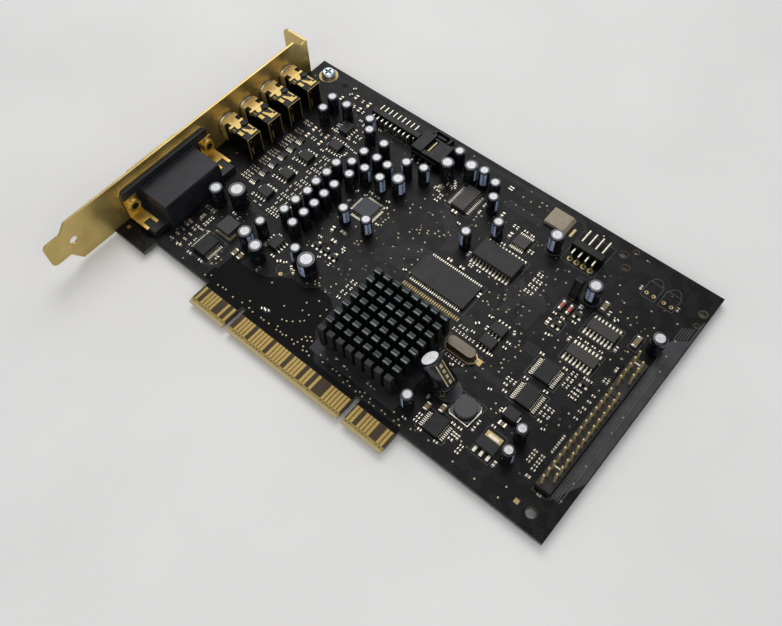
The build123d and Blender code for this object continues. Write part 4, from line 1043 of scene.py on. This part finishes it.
# Plated holes through the board, seen as small pale rings on both faces
via = {"radius": 0.3, "hole": 0.1, "rise": 0.03, "sides": 10, "seed": 11}
viaSpots = [
    (71.2, 66.1), (71.5, 64.3), (72.8, 62.9), (74.1, 66.8), (78.9, 58.8), (79.9, 59.5), (80.5, 58.2),
    (82.2, 60.9), (82.5, 59.9), (84.9, 62.9), (84.6, 61.4), (86.5, 61.4), (87.2, 62.8), (87.8, 64.6),
    (77.7, 56.6), (80.3, 55.3), (75.2, 53.8), (76.3, 52.4), (85.3, 53.6), (84.8, 52.3), (67.3, 57.8),
    (68.5, 56.7), (68.2, 55.4), (68.2, 54.2), (68.6, 52.8), (67.9, 60.3), (64.6, 58.2), (78.6, 74.3),
    (74.0, 73.7), (91.1, 74.0), (91.0, 75.5), (92.2, 76.8), (90.7, 77.5), (104.7, 94.1), (106.6, 94.0),
    (98.3, 92.1), (101.5, 92.1), (105.0, 92.1), (98.3, 87.9), (101.5, 87.9), (105.0, 87.9), (93.2, 72.3),
    (88.9, 64.0), (66.6, 42.9), (67.7, 43.7), (67.9, 42.1), (66.6, 41.6), (88.0, 44.3), (86.6, 47.0),
    (86.8, 49.7), (83.0, 47.2), (72.6, 26.0), (72.0, 24.2), (71.9, 21.7), (66.6, 22.5), (68.1, 22.8),
    (67.4, 21.7), (68.9, 22.2), (67.0, 24.5), (65.2, 20.3), (72.7, 17.9), (70.1, 14.9), (76.7, 17.0),
    (76.7, 14.1), (71.0, 12.0), (73.7, 12.1), (74.0, 9.7), (73.1, 8.7), (71.4, 7.2), (69.8, 6.1),
    (68.3, 5.6), (65.4, 9.6), (56.3, 13.4), (69.0, 3.0), (69.5, 1.8), (71.0, 2.1), (72.2, 1.8),
    (73.3, 2.3), (75.7, 2.4), (77.2, 1.7), (77.6, 2.9), (78.0, 4.4), (78.3, 5.8), (79.5, 6.6),
    (79.6, 5.1), (80.8, 5.9), (80.0, 2.9), (80.8, 1.8), (82.0, 2.3), (83.5, 1.7), (66.1, 1.9),
    (64.0, 1.8), (62.8, 1.9), (59.2, 1.7), (57.3, 2.0), (55.7, 4.0), (45.3, 2.0), (43.4, 1.7),
    (46.6, 2.1), (50.4, 1.6), (54.2, 2.0), (39.0, 2.9), (37.3, 1.7), (26.8, 1.7), (88.3, 2.7),
    (88.7, 4.4), (92.2, 2.9), (93.6, 3.1), (95.2, 2.7), (98.0, 4.3), (98.3, 2.8), (99.9, 2.0),
    (97.6, 1.7), (102.4, 1.8), (103.5, 2.5), (104.8, 3.2), (105.0, 1.8), (107.3, 2.8), (107.8, 1.7),
    (109.5, 1.7), (112.3, 2.1), (113.8, 1.9), (86.2, 4.1), (95.6, 5.6), (117.1, 1.9), (119.2, 1.8),
    (115.4, 4.0), (136.9, 82.2), (142.4, 82.5), (146.9, 77.8), (152.6, 75.7), (158.7, 75.8),
    (147.8, 74.2), (150.7, 73.7), (152.6, 72.2), (158.7, 72.2), (166.0, 75.8), (166.5, 69.6),
    (147.6, 71.3), (125.5, 71.5), (128.8, 72.5), (124.4, 67.9), (125.0, 65.6), (125.2, 63.6),
    (119.5, 60.9), (120.0, 59.4), (116.6, 56.8), (117.4, 55.2), (115.5, 54.4), (120.7, 53.2),
    (120.6, 51.9), (125.0, 53.8), (123.5, 56.8), (125.9, 56.8), (113.7, 51.3), (114.7, 50.6),
    (112.6, 50.5), (126.2, 51.0), (118.0, 51.1), (134.9, 51.2), (136.2, 53.9), (138.6, 53.8),
    (139.3, 51.1), (152.4, 54.8), (154.3, 58.2), (156.7, 60.5), (156.9, 63.7), (167.7, 64.0),
    (108.6, 58.9), (110.6, 59.6), (112.2, 58.4), (112.2, 54.4), (129.8, 46.1), (130.4, 44.9),
    (130.0, 43.7), (128.6, 48.6), (118.7, 47.9), (129.8, 38.1), (129.9, 36.6), (131.1, 35.5),
    (131.1, 33.8), (132.0, 43.6), (131.9, 40.9), (126.8, 31.6), (123.4, 27.8), (126.8, 27.8),
    (136.5, 25.0), (136.5, 22.7), (138.4, 22.6), (143.2, 48.1), (157.3, 47.4), (157.6, 52.6),
    (154.6, 35.8), (154.4, 31.0), (167.3, 44.6), (167.4, 38.4), (167.3, 25.6), (167.4, 19.2),
    (167.5, 12.9), (153.7, 6.7), (153.7, 2.8), (137.8, 3.0), (145.5, 2.9), (117.9, 3.0), (122.5, 3.0),
    (128.6, 3.6), (136.0, 9.3), (35.6, 9.5), (37.0, 9.2), (36.9, 7.1), (35.6, 6.2), (34.3, 9.4),
    (26.1, 11.9), (24.9, 14.2), (42.4, 86.0), (46.5, 86.4), (3.3, 90.4), (7.9, 44.6), (33.4, 76.9),
    (36.4, 80.1), (74.3, 96.1), (99.2, 95.8), (128.1, 95.4), (144.2, 95.9), (163.4, 81.5), (155.0, 80.4),
    (143.7, 79.3), (127.2, 76.7), (123.9, 75.2), (79.2, 66.9), (82.6, 68.6), (84.3, 56.5), (77.2, 48.5),
    (79.7, 44.7), (81.9, 51.0), (72.2, 33.0), (69.4, 30.7), (62.4, 47.0), (55.0, 46.2), (54.2, 39.4),
    (54.9, 31.2), (72.9, 70.6), (73.4, 78.9),
]
# More of them strewn over fields of the board: (low x, low y, high x, high y, count)
viaFields = [(66, 40, 92, 72, 26), (112, 48, 158, 80, 40), (112, 3, 158, 48, 40), (15, 30, 60, 95, 50),
             (72, 62, 116, 96, 40), (16, 3, 37, 30, 30), (60, 22, 82, 40, 22), (138, 76, 168, 97, 4)]


def ringShape(radius, hole, rise, sides):
    # a flat ring with its inner and outer edge rounded off
    profile = [(hole, 0.0), (hole, rise * 0.6), (hole + 0.06, rise), (radius - 0.05, rise), (radius, 0.0)]
    return lathed(profile, sides)


def makeVias():
    random.seed(via["seed"])
    strewn = [(random.uniform(x0, x1), random.uniform(y0, y1)) for x0, y0, x1, y1, count in viaFields
              for _ in range(count)]
    below = -board["thickness"] - via["rise"]
    for name, spots, level, finish in (("plated_holes", viaSpots, 0, viaTin),
                                       ("masked_holes", strewn, 0, viaMasked),
                                       ("plated_holes_below", viaSpots + strewn, below, viaTin)):
        ring = ringShape(via["radius"], via["hole"], via["rise"], via["sides"])
        repeat(name, ring, [(x, y, level) for x, y in spots], finish, "gold_contacts")


makeVias()
print("plated holes made")

# Screen lines: frames round the parts are (low x, low y, high x, high y), rounds are (x, y, radius),
# and the long lines beside the pin header are (x, upper end)
silk = {"width": 0.13, "rise": 0.03, "switchLine": (-1.5, 2.0, -0.7), "lampX": (151.35, 157.6),
        "lampY": 90.0, "lampArc": (1.9, 2.2), "edgeFoot": 12.0, "edgeScale": 1.6}
silkFrames = [
    (141.6, 60.4, 153.0, 69.0), (141.6, 49.2, 153.0, 57.6), (133.5, 55.4, 137.4, 60.2),
    (122.0, 79.2, 134.4, 93.2), (99.0, 59.8, 116.0, 71.0), (88.0, 42.4, 111.0, 54.9),
    (79.4, 72.9, 88.9, 84.4), (159.4, 10.6, 164.2, 63.4), (137.0, 38.4, 147.4, 46.3),
    (137.4, 28.4, 147.8, 36.2), (122.6, 4.6, 132.4, 12.0), (24.7, 4.6, 34.6, 14.9),
    (126.6, 13.2, 135.5, 22.2), (155.8, 65.0, 158.9, 70.8), (131.2, 62.0, 136.8, 67.4),
    (34.6, 85.0, 57.2, 90.4), (27.0, 15.8, 34.2, 23.2), (139.2, 8.4, 146.0, 18.2),
    (148.9, 83.6, 153.8, 90.0), (155.1, 83.6, 160.1, 90.0), (142.0, 70.5, 144.4, 74.4),
    (112.0, 29.6, 124.6, 34.4), (104.9, 72.4, 112.8, 80.0),
]
silkRounds = [(55.5, 19.5, 2.4), (123.4, 19.7, 3.85), (118.3, 81.1, 2.9), (138.2, 72.7, 2.9)]
silkEdges = [(164.9, 62.0), (165.5, 66.0), (166.1, 68.8), (166.7, 69.2), (167.5, 62.0)]


def makeSilk():
    paths = []
    for x0, y0, x1, y1 in silkFrames:
        corners = [(x0, y0), (x1, y0), (x1, y1), (x0, y1)]
        paths += zip(corners, corners[1:] + corners[:1])
    # a short line between neighbouring switches
    switches = leadGroups["switch"][0]
    left, right, drop = silk["switchLine"]
    for (x, y), (_, below) in zip(switches, switches[1:]):
        paths.append([(x + side, (y + below) / 2 + drop) for side in (left, right)])
    paths += [arc(x, silk["lampY"], *silk["lampArc"], 0, math.pi, 12) for x in silk["lampX"]]
    paths += [arc(x, y, radius, radius, 0, 2 * math.pi, 20) for x, y, radius in silkRounds]
    width, rise = silk["width"], silk["rise"]
    runs("screen_lines", paths, width, rise, rise / 2, silkInk, "solder_mask_board")
    edges = [[(x, silk["edgeFoot"]), (x, top)] for x, top in silkEdges]
    width, rise = silk["edgeScale"] * width, silk["edgeScale"] * rise
    runs("edge_lines", edges, width, rise, rise / 2, silkInk, "solder_mask_board")


makeSilk()
print("screen lines made")

# Bundles of copper runs under the mask: corners of the first run, number of runs, step between them
trace = {"width": 0.2, "rise": 0.03}
traceBundles = [
    ([(124.5, 50.5), (124.5, 61.0), (121.0, 64.5)], 9, (0.55, 0.0)),
    ([(131.5, 47.8), (136.6, 47.8)], 7, (0.0, -0.5)),
    ([(110.8, 42.0), (113.5, 39.3), (113.5, 35.5)], 6, (0.5, 0.4)),
    ([(73.0, 44.0), (84.0, 55.0), (88.0, 55.0)], 7, (0.55, -0.55)),
    ([(90.0, 57.0), (90.0, 61.0), (80.0, 71.0)], 8, (0.55, 0.3)),
    ([(112.0, 62.0), (118.0, 56.0), (118.0, 50.0)], 8, (0.5, 0.5)),
    ([(117.0, 66.0), (122.0, 61.0), (130.0, 61.0)], 5, (0.0, -0.55)),
    ([(154.0, 50.0), (158.6, 54.6), (158.6, 60.0)], 5, (0.0, -0.8)),
    ([(95.0, 88.0), (110.0, 88.0)], 5, (0.0, -0.6)),
    ([(40.0, 94.6), (58.0, 94.6)], 4, (0.0, 0.6)),
    ([(74.0, 96.5), (120.0, 96.5), (124.0, 92.5)], 3, (0.0, -0.6)),
    ([(53.0, 47.0), (53.0, 40.0), (58.0, 35.0)], 6, (0.5, 0.4)),
    ([(78.0, 46.0), (86.5, 46.0)], 6, (0.0, -0.55)),
    ([(17.0, 31.5), (34.0, 31.5), (38.0, 27.5)], 4, (0.0, -0.55)),
    ([(37.0, 23.0), (37.0, 6.0)], 4, (0.55, 0.0)),
    ([(113.0, 24.0), (120.0, 24.0), (126.0, 30.0), (136.0, 30.0)], 4, (0.0, 0.6)),
]
# The solder side has longer runs: a fan from the tongue up the board, and bars across it
solderSide = {"scale": 1.4, "fan": 40, "fanX": (43.0, 1.9), "fanFoot": 1.0, "fanKnee": 6.0,
              "fanLean": (6.0, 0.35), "fanTop": 60.0, "bars": 16, "barY": (24.0, 4.2),
              "straight": (14.0, 150.0), "bent": (30.0, 120.0, 126.0, 158.0), "bend": 3.0}


def makeTraces():
    paths = []
    for corners, count, (stepX, stepY) in traceBundles:
        paths += [[(x + stepX * k, y + stepY * k) for x, y in corners] for k in range(count)]
    width, rise = trace["width"], trace["rise"]
    runs("copper_runs", paths, width, rise, rise / 2, maskedTrace, "solder_mask_board")
    below = []
    for k in range(solderSide["fan"]):
        x, lean = (first + step * k for first, step in (solderSide["fanX"], solderSide["fanLean"]))
        knee, top = solderSide["fanKnee"] + k % 5, solderSide["fanTop"] + (k * 7) % 30
        below.append([(x, solderSide["fanFoot"]), (x, knee), (x - lean, knee + lean), (x - lean, top)])
    for k in range(solderSide["bars"]):
        y = solderSide["barY"][0] + solderSide["barY"][1] * k
        if k % 2:
            start, end = solderSide["straight"]
            below.append([(start + (k * 5) % 9, y), (end - (k * 11) % 30, y)])
        else:
            start, knee, after, end = solderSide["bent"]
            over = y + solderSide["bend"]
            below.append([(start + (k * 3) % 12, y), (knee, y), (after, over), (end, over)])
    runs("copper_runs_below", below, width * solderSide["scale"], rise, -board["thickness"] - rise / 2,
         maskedTrace, "solder_mask_board")


makeTraces()
print("copper runs made")

# Bare gold pads (x, y, width, depth): strip by the memory, regulator, square marks, edge marks
pad = {"rise": 0.05, "edge": 0.04, "ringRise": 0.04, "ringSides": 24}
padBlocks = [(88.85 + 0.84 * k, 40.2, 0.55, 1.7) for k in range(27)]
padBlocks += [(124.4, 32.5, 2.3, 2.1), (158.2, 5.2, 1.5, 1.5), (119.6, 90.0, 0.9, 3.6),
              (3.0, -1.4, 1.3, 1.3)]
# Ring pads (x, y, radius, hole): lamp places, drive header, screw, capacitors
padRings = [(x, 85.4, 0.7, 0.3) for x in (150.2, 152.7, 156.3, 158.9)] + [(133.4, 69.1, 0.85, 0.3)]
padRings += [(124.5 + 2.54 * k, 81.0, 1.0, 0.35) for k in range(4)]
padRings += [(7.3, 93.6, 3.7, 2.2), (56.0, 17.5, 0.7, 0.2), (122.7, 17.5, 0.95, 0.3),
             (122.7, 21.5, 0.95, 0.3)]
# Rims of the tooling holes
holeRims = [(167.8, 89.4, 1.55, 1.22), (168.2, 84.5, 1.1, 0.87), (140.3, 89.2, 1.4, 1.17),
            (139.8, 96.5, 1.1, 0.82), (137.0, 93.2, 1.62, 1.47), (163.1, 5.1, 1.75, 1.62)]


def makePads():
    shape = boxes([((x - wide / 2, y - deep / 2, 0), (x + wide / 2, y + deep / 2, pad["rise"]))
                   for x, y, wide, deep in padBlocks])
    addPiece("bare_pads", shape, padGold, "gold_contacts", edge=pad["edge"], segments=1)
    for name, rings, finish in (("ring_pad_%02d", padRings, padGold),
                                ("hole_rim_%02d", holeRims, rimCopper)):
        for k, (x, y, radius, hole) in enumerate(rings):
            ring = ringShape(radius, hole, pad["ringRise"], pad["ringSides"])
            ring.transform(Matrix.Translation(spot(x, y)))
            addPiece(name % k, ring, finish, "gold_contacts", smooth=True)


makePads()

# Areas of another mask: bare laminate near the tongue with a curved upper border, solid copper under the
# heat sink, lightened as painted light where the sink's shadow falls, and copper along the right edge with
# short runs that leave it
maskAreas = {"bareLevel": 0.01, "copperLevel": 0.014, "bandLow": -0.95, "bandHigh": 1.0,
             "bands": ((40.5, 55.1), (57.3, 103.4), (105.6, 120.2))}
bareArea = [(37.5, 1.0), (37.5, 11.5), (44.5, 12.5), (49.0, 12.6), (53.5, 14.0), (57.5, 17.0), (60.0, 18.5),
            (66.0, 18.6), (69.5, 21.5), (75.0, 21.0), (78.0, 18.5), (78.6, 13.5), (79.0, 9.6), (86.0, 1.0)]
sinkPour = [(81.6, 3.6), (115.0, 3.6), (115.0, 35.4), (81.6, 35.4)]
rightPour = [(164.6, 10.5), (169.9, 21.0), (169.9, 87.0), (169.3, 87.0), (169.2, 78.4), (165.2, 75.4),
             (164.6, 74.0)]
rightRuns = [[(x, 0.75 * x - 48.2), (x + 0.38, 0.75 * x - 47.9), (x + 0.38, 0.6 * x - 17.7),
              (x, 0.6 * x - 17.9)] for x in (165.2, 165.95, 166.7, 167.45, 168.2)]


def makeMaskAreas():
    low, high = maskAreas["bandLow"], maskAreas["bandHigh"]
    bands = [[(x0, low), (x1, low), (x1, high), (x0, high)] for x0, x1 in maskAreas["bands"]]
    bare, copper = maskAreas["bareLevel"], maskAreas["copperLevel"]
    for name, outlines, level, finish in (("bare_mask_area", [bareArea, *bands], bare, maskBare),
                                          ("copper_mask_areas", [sinkPour], copper, pourWithPaintedLight),
                                          ("edge_mask_area", [rightPour, *rightRuns], copper, edgePour)):
        shape = plates([(outline, level, level) for outline in outlines])
        addPiece(name, shape, finish, "solder_mask_board")


makeMaskAreas()
print("pads made")

# Solder side: a cone of solder with its wire end under each leaded part;
# rows are (x, y, step x, step y, count)
tails = {"sides": 10, "spread": 0.45, "soft": 60,
         "profile": [(0, -1.15), (0.22, -1.15), (0.27, -0.65), (0.5, -0.25), (0.85, 0.0), (0, 0.0)]}
tailRows = [
    (160.53, 61.1, 0, -2.54, 20), (163.07, 61.1, 0, -2.54, 20),  # pin header
    (36.5, 86.6, 2.0, 0, 10), (124.5, 81.4, 2.54, 0, 4), (58.5, 85.0, 2.54, 0, 4),  # top edge
    (122.7, 17.5, 0, 4.0, 2), (5.0, 10.5, 0, 2.77, 8), (7.84, 11.885, 0, 2.77, 7),  # leaning can, port
    *[(x, y, 0, 10.04, 4) for x, y in ((14.2, 50.1), (14.2, 46.4), (5.6, 52.0), (5.6, 46.0), (9.8, 49.0))],
]


def makeTails():
    spots = [(x + way * radius * tails["spread"], y) for radius, _, cans in canGroups.values()
             for x, y, _ in cans for way in (-1, 1)]
    spots += [(x + stepX * k, y + stepY * k) for x, y, stepX, stepY, count in tailRows
              for k in range(count)]
    repeat("solder_tails", lathed(tails["profile"], tails["sides"]),
           [(x, y, -board["thickness"]) for x, y in spots], solder, "tinned_leads", degrees=tails["soft"])


makeTails()
print("solder tails made")

# Jacks: a ring between bracket and jack as (radius, height), and plates as (outline, level, thickness);
# an outline is (x, y from the jack's axis), with a level of its own where a corner bends down
jack = {"firstY": 49.0, "pitch": 10.04, "count": 4, "axis": 6.4, "ringSides": 40, "goldEdge": 0.05,
        "blockEdge": 0.06,
        "ring": [(3.0, 0.06), (4.0, 0.06), (4.2, 0.25), (4.2, 0.65), (4.0, 0.84), (3.0, 0.84), (3.0, 0.06)]}
jackGold = {
    "blade": ([(9.1, 2.05), (11.7, 2.05), (11.9, 1.5), (11.2, 0.85), (10.2, 0.35), (9.1, -0.15),
               (9.1, -0.8), (10.4, -0.7), (11.6, -0.4), (13.6, -0.45), (13.6, 2.6), (9.1, 2.6)],
              9.66, 0.26),
    "tongue": ([(6.0, 1.3, 9.66), (6.0, -1.3, 9.66), (7.8, -1.5, 9.5), (8.2, -0.3, 9.45), (7.5, 0.5, 9.5)],
               9.66, 0.2),
    "pad": ([(9.2, -2.95), (11.5, -2.95), (11.5, -1.55), (9.2, -1.55)], 9.7, 0.3),
    "tab": ([(6.4, -3.25, 9.2), (8.2, -3.25, 9.2), (8.0, -2.2, 9.6), (6.6, -2.2, 9.6)], 9.6, 0.25),
    "hook": ([(5.15, -3.42), (5.95, -3.42), (5.95, -3.08), (5.15, -3.08)], 9.68, 1.9),
    "rearLine": ([(14.15, -3.1), (14.36, -3.1), (14.36, 3.1), (14.15, 3.1)], 9.3, 0.18),
    "nearLeg": ([(14.15, -3.15), (14.48, -3.15), (14.48, -2.8), (14.15, -2.8)], 9.3, 9.3),
    "farLeg": ([(14.15, 2.65), (14.48, 2.65), (14.48, 3.0), (14.15, 3.0)], 9.3, 9.3),
    "springTop": ([(14.15, -2.0), (14.3, -2.0), (14.3, -1.5), (14.15, -1.5)], 8.1, 0.6),
    "springLow": ([(14.15, -2.0), (14.34, -2.0), (14.34, -1.4), (14.15, -1.4)], 4.6, 3.2),
}
jackBlack = {
    "latch": ([(6.2, 3.1), (6.2, 2.2), (7.6, 0.9), (8.2, 0.7), (8.8, 1.7), (8.8, 3.1)], 9.9, 0.6),
    "nearNotch": ([(3.1, -3.2), (4.9, -3.2), (4.9, -1.9), (3.5, -1.9)], 9.62, 0.4),
    "farNotch": ([(3.5, 2.0), (4.9, 2.0), (4.9, 3.2), (3.1, 3.2)], 9.62, 0.4),
    "rearFrame": ([(14.1, -2.75), (14.3, -2.75), (14.3, 2.6), (14.1, 2.6)], 9.1, 0.6),
    "rearFoot": ([(14.1, -2.75), (14.3, -2.75), (14.3, 2.6), (14.1, 2.6)], 1.0, 1.0),
    "stake": (arc(12.4, 2.05, 0.5, 0.5, 0, 1.75 * math.pi, 7), 9.76, 0.4),
}


def makeJackTrim():
    for k in range(jack["count"]):
        y = jack["firstY"] + jack["pitch"] * k
        label = "jack_%d_" % (k + 1)
        ring = lathed(jack["ring"], jack["ringSides"])
        bmesh.ops.remove_doubles(ring, verts=ring.verts, dist=1e-7)
        bmesh.ops.recalc_face_normals(ring, faces=ring.faces)
        ring.transform(Matrix.Translation(spot(0, y, jack["axis"])) @ Matrix.Rotation(math.pi / 2, 4, "Y"))
        addPiece(label + "ring", ring, nickelRing, "tinned_steel", smooth=True)
        addPiece(label + "gold", plates(jackGold.values(), y), bladeGold, "gold_shield", label + "contacts",
                 edge=jack["goldEdge"])
        addPiece(label + "blocks", plates(jackBlack.values(), y), jackMoulding, "black_plastic",
                 edge=jack["blockEdge"])


makeJackTrim()
print("jack trim made")

# Boxed connector: base, two cover plates, latch frame and front ledge as (low corner, high corner)
connector = {
    "boxes": [((56.7, 82.7, 0), (69.3, 92.5, 3.7)), ((56.7, 82.7, 3.6), (61.1, 92.4, 5.0)),
              ((63.5, 82.7, 3.6), (69.3, 90.9, 4.85)), ((61.0, 82.7, 3.6), (63.6, 84.5, 4.6)),
              ((61.0, 90.3, 3.6), (69.3, 91.3, 4.4)), ((59.1, 92.4, 0), (66.9, 94.4, 3.5)),
              ((59.0, 91.5, 3.4), (60.1, 94.4, 5.0)), ((65.9, 91.2, 3.4), (66.9, 94.4, 5.0)),
              ((59.4, 93.6, 3.4), (66.6, 94.4, 5.0)), ((61.2, 91.9, 3.4), (64.8, 92.9, 4.5)),
              ((57.4, 82.0, 2.4), (68.2, 82.8, 3.4))],
    "pin": ((62.35, 84.9, 3.7), (62.8, 90.1, 4.15)), "edge": 0.12, "pinEdge": 0.1,
}
# Bent legs at the top edge: first x, pitch, count, y, (reach, height) points, width, thickness, finish
edgeLegs = {
    "connector_legs": (58.5, 2.54, 4, 82.7, [(0, 1.6), (0.9, 1.5), (1.3, 0.3), (1.9, 0.25)],
                       0.5, 0.25, tinLead),
    "panel_header_legs": (36.5, 2.0, 9, 86.1, [(-0.1, 3.75), (0.5, 3.7), (0.85, 3.3), (0.95, 0.1)],
                          0.5, 0.4, solder),
}


def makeConnector():
    addPiece("audio_connector_body", boxes(connector["boxes"]), jackMoulding, "black_plastic",
             "audio_connector", edge=connector["edge"])
    addPiece("connector_pin", boxes([connector["pin"]]), goldPost, "gold_pins", edge=connector["pinEdge"])
    for name, (x, pitch, count, y, bend, width, thick, finish) in edgeLegs.items():
        places = [(x + pitch * k, y, 0, -90) for k in range(count)]
        repeat(name, bentStrip(bend, width, thick), places, finish, "tinned_leads")


makeConnector()

# Plating tails that run from the fingers onto the bevel
tail = {"first": 41.605, "pitch": 1.27, "count": 62, "width": 0.4, "top": -6.4, "tip": -7.25, "fall": -0.17,
        "rise": 0.05,
        "none": (2, 7, 8, 10, 12, 13, 14, 19, 25, 31, 36, 39, 41, 42, 43, 50, 51, 54, 59, 60)}


def makePlatingTails():
    parts = []
    for k in range(tail["count"]):
        if k + 1 not in tail["none"]:
            left = tail["first"] + tail["pitch"] * k - tail["width"] / 2
            right = left + tail["width"]
            outline = [(left, tail["tip"], tail["fall"]), (right, tail["tip"], tail["fall"]),
                       (right, tail["top"]), (left, tail["top"])]
            parts.append((outline, tail["rise"], tail["rise"]))
    addPiece("plating_tails", plates(parts), goldFinger, "gold_contacts")


makePlatingTails()

# Sockets in the port's face: rows of (count, level, shift), and profiles of (radius, height); each socket
# is a gold rim round a near-black disc, painted shade that stands in for the hole
sockets = {"face": -5.4, "y": 20.1, "pitch": 2.29, "sides": 12,
           "rows": ((9, 9.88, 0.57), (9, 7.9, -0.57), (8, 5.92, 0.0)),
           "rim": [(0.34, 0.0), (0.34, 0.05), (0.5, 0.05), (0.54, 0.0)],
           "bore": [(0, 0.0), (0.34, 0.0), (0.34, 0.015), (0, 0.015)]}


def makeSockets():
    outward = Matrix.Rotation(-math.pi / 2, 4, "Y")
    for name, finish, slot in (("rim", goldPost, "gold_pins"), ("bore", maskBare, "black_plastic")):
        shape = bmesh.new()
        for count, level, shift in sockets["rows"]:
            for along in centred(count, sockets["pitch"]):
                place = Matrix.Translation(spot(sockets["face"], sockets["y"] + shift + along, level))
                joinInto(shape, lathed(sockets[name], sockets["sides"]), place @ outward)
        addPiece("socket_%ss" % name, shape, finish, slot)


makeSockets()

# Trim of single parts: choke clip, inductor strip, crystal rim, diode ends, regulator tab, strap bosses
trim = {"clip": [(127.4, 14.9), (128.2, 13.8), (134.7, 13.6), (135.1, 19.6), (134.3, 21.0)],
        "strip": [(27.7, 16.2), (33.8, 16.2), (33.8, 19.2)],
        "rim": [(114.2, 29.85), (122.4, 29.85), (123.75, 31.0), (123.75, 33.0), (122.4, 34.15),
                (114.2, 34.15), (112.85, 33.0), (112.85, 31.0), (114.2, 29.85)],
        "diodes": [132.6, 135.4], "diodeY": 64.2, "diodeLevel": 0.8, "diodeEnd": 1.45, "diodeSides": 16,
        "diodeCap": [(0, -0.42), (0.74, -0.42), (0.82, -0.34), (0.82, 0.34), (0.74, 0.42), (0, 0.42)],
        "tab": [(139.95, 14.65), (145.25, 14.65), (145.25, 16.95), (139.95, 16.95)],
        "slot": [(140.8, 15.3), (144.4, 15.3), (144.4, 16.3), (140.8, 16.3)], "tabLevel": 0.53,
        "slotLevel": 0.56, "tabThick": 0.06,
        "bosses": [(2.7, 3.44, 7.9), (2.7, 36.76, 7.9)], "bossSides": 20,
        "boss": [(2.2, 0.0), (2.42, 0.1), (2.42, 0.45), (2.22, 0.55), (2.22, 0.7), (2.42, 0.8),
                 (2.42, 1.15), (2.22, 1.25), (2.22, 1.4), (2.36, 1.5), (2.36, 1.8), (2.2, 1.92),
                 (1.4, 1.92), (1.25, 1.84)],
        "hole": [(0, 1.8), (1.28, 1.8), (1.28, 1.86), (0, 1.86)],
        "paleHalf": (123.8, 19.7, 3.3, 3.7), "halfRise": 0.02}


def makeTrim():
    for name, path, width, height, level, finish, slot in (
            ("choke_clip", "clip", 0.4, 0.7, 0.5, tinLead, "tinned_leads"),
            ("inductor_strip", "strip", 0.45, 0.8, 0.45, viaTin, "tinned_leads"),
            ("crystal_rim", "rim", 0.3, 0.3, 0.3, goldPost, "pale_can")):
        runs(name, [trim[path]], width, height, level, finish, slot)
    # The strap hole is a thin black disc near the boss top: painted shade that stands in for the deep
    # threaded hole
    for name, finish, slot in (("boss", goldStamping, "gold_contacts"),
                               ("hole", jackMoulding, "black_plastic")):
        shape = lathed(trim[name], trim["bossSides"])
        shape.transform(Matrix.Rotation(math.pi / 2, 4, "Y"))
        repeat("strap_" + name, shape, trim["bosses"], finish, slot)
    shape = lathed(trim["diodeCap"], trim["diodeSides"])
    shape.transform(Matrix.Rotation(math.pi / 2, 4, "X"))
    ends = [(x, trim["diodeY"] + way * trim["diodeEnd"], trim["diodeLevel"]) for x in trim["diodes"]
            for way in (-1, 1)]
    repeat("diode_ends", shape, ends, solder, "tinned_leads")
    for name, finish in (("tab", padGold), ("slot", tinLead)):
        plate = plates([(trim[name], trim[name + "Level"], trim["tabThick"])])
        addPiece("regulator_" + name, plate, finish, "tinned_leads")
    # A paler half disc inside the leaning can's round outline
    half = arc(*trim["paleHalf"], -math.pi / 2, math.pi, 16)
    ink = plates([(half, trim["halfRise"], trim["halfRise"])])
    addPiece("polarity_mark", ink, paleHalfFill, "solder_mask_board")


makeTrim()
print("trim made")

# Floor, light and camera
stage = {"size": 3.0, "drop": 0.2, "air": "#f2f4f8", "airStrength": 0.36}
shape = bmesh.new()
bmesh.ops.create_grid(shape, x_segments=1, y_segments=1, size=stage["size"] / 2)
bmesh.ops.translate(shape, vec=(0, 0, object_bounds()[0][2] - stage["drop"] * mm), verts=shape.verts)
# Matte studio paper: pale, almost even
floorPaper = makeFinish("matte studio paper", "#e6e5e3", "#ecebe9", 60.0, (0.85, 0.95))
newPiece("studio_floor", meshOf("studio_floor", shape), floorPaper)

lamps = {  # place in millimetres on the board, size in metres, watts
    "key": ((-160, 330, 520), 0.55, 2.1),
    "fill": ((420, -140, 380), 0.5, 0.65),
    "front": ((60, -420, 260), 0.45, 0.5),
}
aim = spot(85, 45)
for name, (place, size, watts) in lamps.items():
    light = bpy.data.lights.new(name, "AREA")
    light.shape, light.size, light.energy = "DISK", size, watts
    lamp = bpy.data.objects.new(name, light)
    lamp.location = spot(*place)
    lamp.rotation_euler = (aim - spot(*place)).to_track_quat("-Z", "Y").to_euler()
    scene.collection.objects.link(lamp)
world = bpy.data.worlds.new("studio")
world.use_nodes = True
feed(world.node_tree, world.node_tree.nodes["Background"], {"Color": linear(stage["air"]),
                                                            "Strength": stage["airStrength"]})
scene.world = world

# The camera stands at the photograph's viewing angle: place in millimetres on the board, and its own axes
view = {"place": (180.613, -64.410, 216.530), "right": (0.76206, 0.64685, -0.02914),
        "up": (-0.54609, 0.66624, 0.50784), "lens": 37.13, "sensor": 36.0, "near": 0.01}
camera = bpy.data.objects.new("camera", bpy.data.cameras.new("camera"))
camera.data.lens, camera.data.sensor_width = view["lens"], view["sensor"]
camera.data.sensor_fit = "HORIZONTAL"
camera.data.clip_start = view["near"]
right, up = Vector(view["right"]), Vector(view["up"])
turn = Matrix((right, up, right.cross(up))).transposed().to_4x4()
camera.matrix_world = Matrix.Translation(spot(*view["place"])) @ turn
scene.collection.objects.link(camera)
scene.camera = camera
print("stage set")
